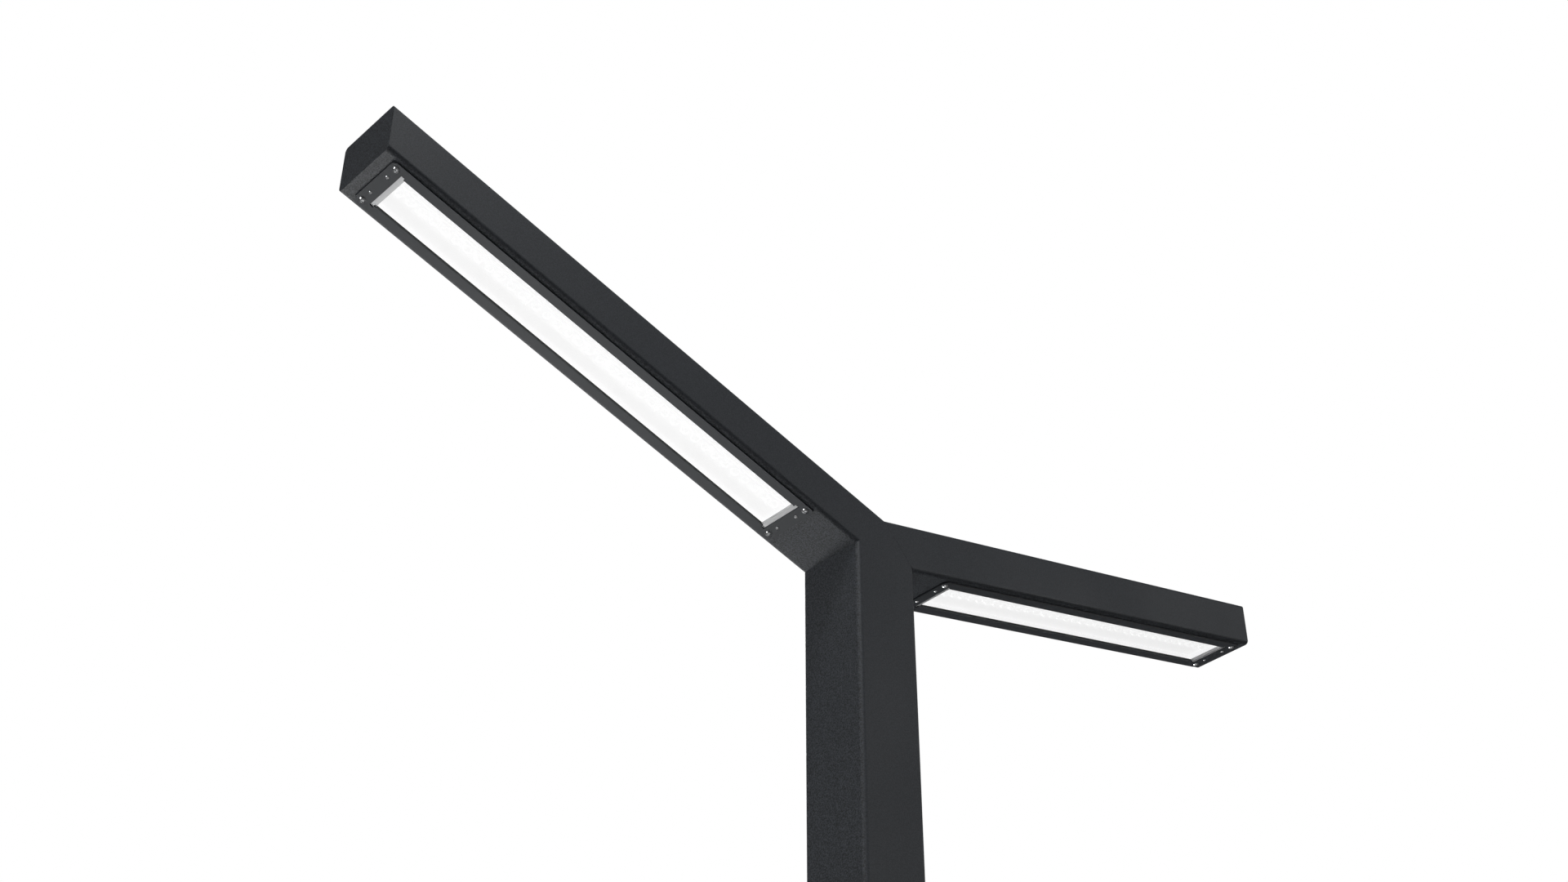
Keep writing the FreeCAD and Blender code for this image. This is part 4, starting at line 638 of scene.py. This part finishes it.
# %% The terminal screws
def slotted(radius, height, slot, sides=12):
    """A low cone with a groove across its top."""
    shape = bmesh.new()
    bmesh.ops.create_cone(shape, cap_ends=True, segments=sides, depth=height,
                          radius1=radius, radius2=radius * 0.94)
    for x in (-slot / 2, slot / 2):
        bmesh.ops.bisect_plane(shape, geom=shape.verts[:] + shape.edges[:] + shape.faces[:],
                               plane_co=(x, 0, 0), plane_no=(1, 0, 0))
    top = [f for f in shape.faces if f.normal.z > 0.9 and abs(f.calc_center_median().x) < slot / 4]
    pushed = bmesh.ops.extrude_face_region(shape, geom=top)
    bmesh.ops.translate(shape, verts=[v for v in pushed["geom"] if isinstance(v, bmesh.types.BMVert)],
                        vec=(0, 0, -height * 0.5))
    bmesh.ops.delete(shape, geom=top, context="FACES")
    bmesh.ops.recalc_face_normals(shape, faces=shape.faces)
    mesh = bpy.data.meshes.new("slotted")
    shape.to_mesh(mesh)
    return bpy.data.objects.new("slotted", mesh)


screws = Tree("screw_row", Template=str, Count=int, Pitch=float)
row = centred_line(screws, screws.given["Count"], screws.given["Pitch"])
placed = screws.node("GeometryNodeInstanceOnPoints", {"Points": row, "Instance": screws.template()})
screws.close(placed.outputs[0], "zinc_steel")
low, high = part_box("terminal_block")
SCREW_IN = 0.006
middle = Matrix.Translation((0, low.y + SCREW_IN, (low.z + high.z) / 2))
grow("terminal_screws", screws, "column", "zinc_steel", place=middle @ Matrix.Rotation(math.pi / 2, 4, "X"),
     Template=slotted(0.0025, 0.0024, 0.0008), Count=5, Pitch=0.010)

# %% [markdown]
# ## Wires in the junction box
# From each cable a brown, a blue and a striped core run to the fuses and the terminals. They
# could be swept in the CAD model, but they carry no load and fit nothing, so here they are
# smooth curves with a round section. The stripe needs to follow the wire, so the tree stores how
# far round the section each point is, and the finish reads that attribute.

# %% Finishes for the cores
for name, colour in (("core_brown", (0.09, 0.035, 0.015)), ("core_blue", (0.02, 0.10, 0.36))):
    core = finish(name, colour, 0.4)
    shades = [[share * c for c in colour] for share in (0.85, 1.15)]
    core.feed("Base Color", core.blend(core.noise(900), *shades))
striped = finish("core_striped", (0.1, 0.4, 0.06), 0.4)
around = striped.tree.nodes.new("ShaderNodeAttribute")
around.attribute_name = "around"
wave = striped.node("ShaderNodeMath", {0: around.outputs["Fac"]})
wave.operation, wave.inputs[1].default_value = "MULTIPLY", 2 * math.tau
bands = striped.node("ShaderNodeMath", {0: wave.outputs[0]})
bands.operation = "SINE"
GREEN, YELLOW = (0.05, 0.32, 0.05), (0.75, 0.62, 0.03)
striped.feed("Base Color", striped.blend(bands.outputs[0], GREEN, YELLOW, (0.48, 0.52)))

# %% A tree for a wire
wire = Tree("wire", Radius=float)
section = wire.node("GeometryNodeCurvePrimitiveCircle", {"Radius": wire.given["Radius"]}, Resolution=12)
how_far = wire.node("GeometryNodeSplineParameter")
marked = wire.node("GeometryNodeStoreNamedAttribute",
                   {"Geometry": section.outputs[0], "Value": how_far.outputs["Factor"]}, Name="around")
skin = wire.node("GeometryNodeCurveToMesh",
                 {"Curve": wire.given["Geometry"], "Profile Curve": marked.outputs[0]}, Fill_Caps=True)
wire.end(skin.outputs[0])


def run_wire(name, points, radius, finish_name):
    """A round wire along a smooth curve through points, kept as one piece on the column."""
    curve = bpy.data.curves.new(name, "CURVE")
    curve.dimensions = "3D"
    spline = curve.splines.new("NURBS")
    spline.points.add(len(points) - 1)
    for spot, point in zip(spline.points, points):
        spot.co = (*point, 1)
    spline.order_u, spline.use_endpoint_u, spline.resolution_u = 3, True, 8
    start = bpy.data.objects.new(name + "_route", curve)
    bpy.context.scene.collection.objects.link(start)
    modifier = start.modifiers.new("wire", "NODES")
    modifier.node_group = wire.group
    radius_socket = [i for i in wire.group.interface.items_tree if i.name == "Radius"][0]
    modifier[radius_socket.identifier] = radius
    graph = bpy.context.evaluated_depsgraph_get()
    mesh = bpy.data.meshes.new_from_object(start.evaluated_get(graph), depsgraph=graph)
    bpy.data.objects.remove(start)
    mesh.materials.clear()
    mesh.materials.append(finishes[finish_name].material)
    return keep(name, mesh, "column")


# %% The cores
fuse_low, fuse_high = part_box("fuse_carriers")
term_low, term_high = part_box("terminal_block")
CORE, FUSE_X, LIVE_X = 0.0011, 0.009, 0.010
IN_CABLE, OUT_OF_CABLE = 0.004, -0.003
cable_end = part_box("left_riser_cable")[0].z
back_y = term_high.y - 0.008
clamp = term_high.z - 0.004
for way, side in ((-1, "left"), (1, "right")):
    x = way * RISER_X
    fuse = (way * FUSE_X, CABLE_Y + 0.003)
    run_wire(side + "_core_live", [
        (x, CABLE_Y, cable_end + IN_CABLE), (x, CABLE_Y, cable_end + OUT_OF_CABLE),
        (*fuse, cable_end - 0.005), (*fuse, fuse_high.z - 0.003)], CORE, "core_brown")
    run_wire(side + "_core_fused", [
        (*fuse, fuse_low.z + 0.003), (*fuse, fuse_low.z - 0.006),
        (way * LIVE_X, back_y, fuse_low.z - 0.008), (way * LIVE_X, back_y, clamp)], CORE, "core_brown")
    x += way * 0.001
    for core, out_x, y, end_x in (("core_blue", 0.0215, 0.023, 0.0012), ("core_striped", 0.0250, 0.018, 0.020)):
        run_wire(f"{side}_{core}", [
            (x, CABLE_Y, cable_end + IN_CABLE), (x, CABLE_Y, cable_end + OUT_OF_CABLE),
            (way * out_x, y, cable_end - 0.010), (way * out_x, y, cable_end - 0.045),
            (way * out_x, y, fuse_low.z - 0.004), (way * end_x, back_y, fuse_low.z - 0.006),
            (way * end_x, back_y, clamp)], CORE, core)

# %% The earth lead, striped along its length
LUG_X, LEAD = 0.0495, 0.0025
low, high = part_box("earth_lead")
earth = run_wire("earth_lead_striped", [
    (-LUG_X, CABLE_Y, low.z), (-LUG_X, CABLE_Y, low.z + 0.020),
    (-EARTH_X, CABLE_Y, low.z + 0.036), (-EARTH_X, CABLE_Y, high.z)], LEAD, "core_striped")
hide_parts("earth_lead")
run_wire("earth_core", [
    (-EARTH_X, CABLE_Y, high.z - 0.002), (-EARTH_X, CABLE_Y, high.z + 0.003),
    (-0.020, back_y, term_low.z - 0.004), (-0.020, back_y, term_low.z + 0.004)], CORE * 1.3, "core_striped")

# %% [markdown]
# ## Sizes
# The box of what is shown is printed.

# %% Print the size of what is shown
low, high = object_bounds()
print("shown size", [round(v, 4) for v in high - low])
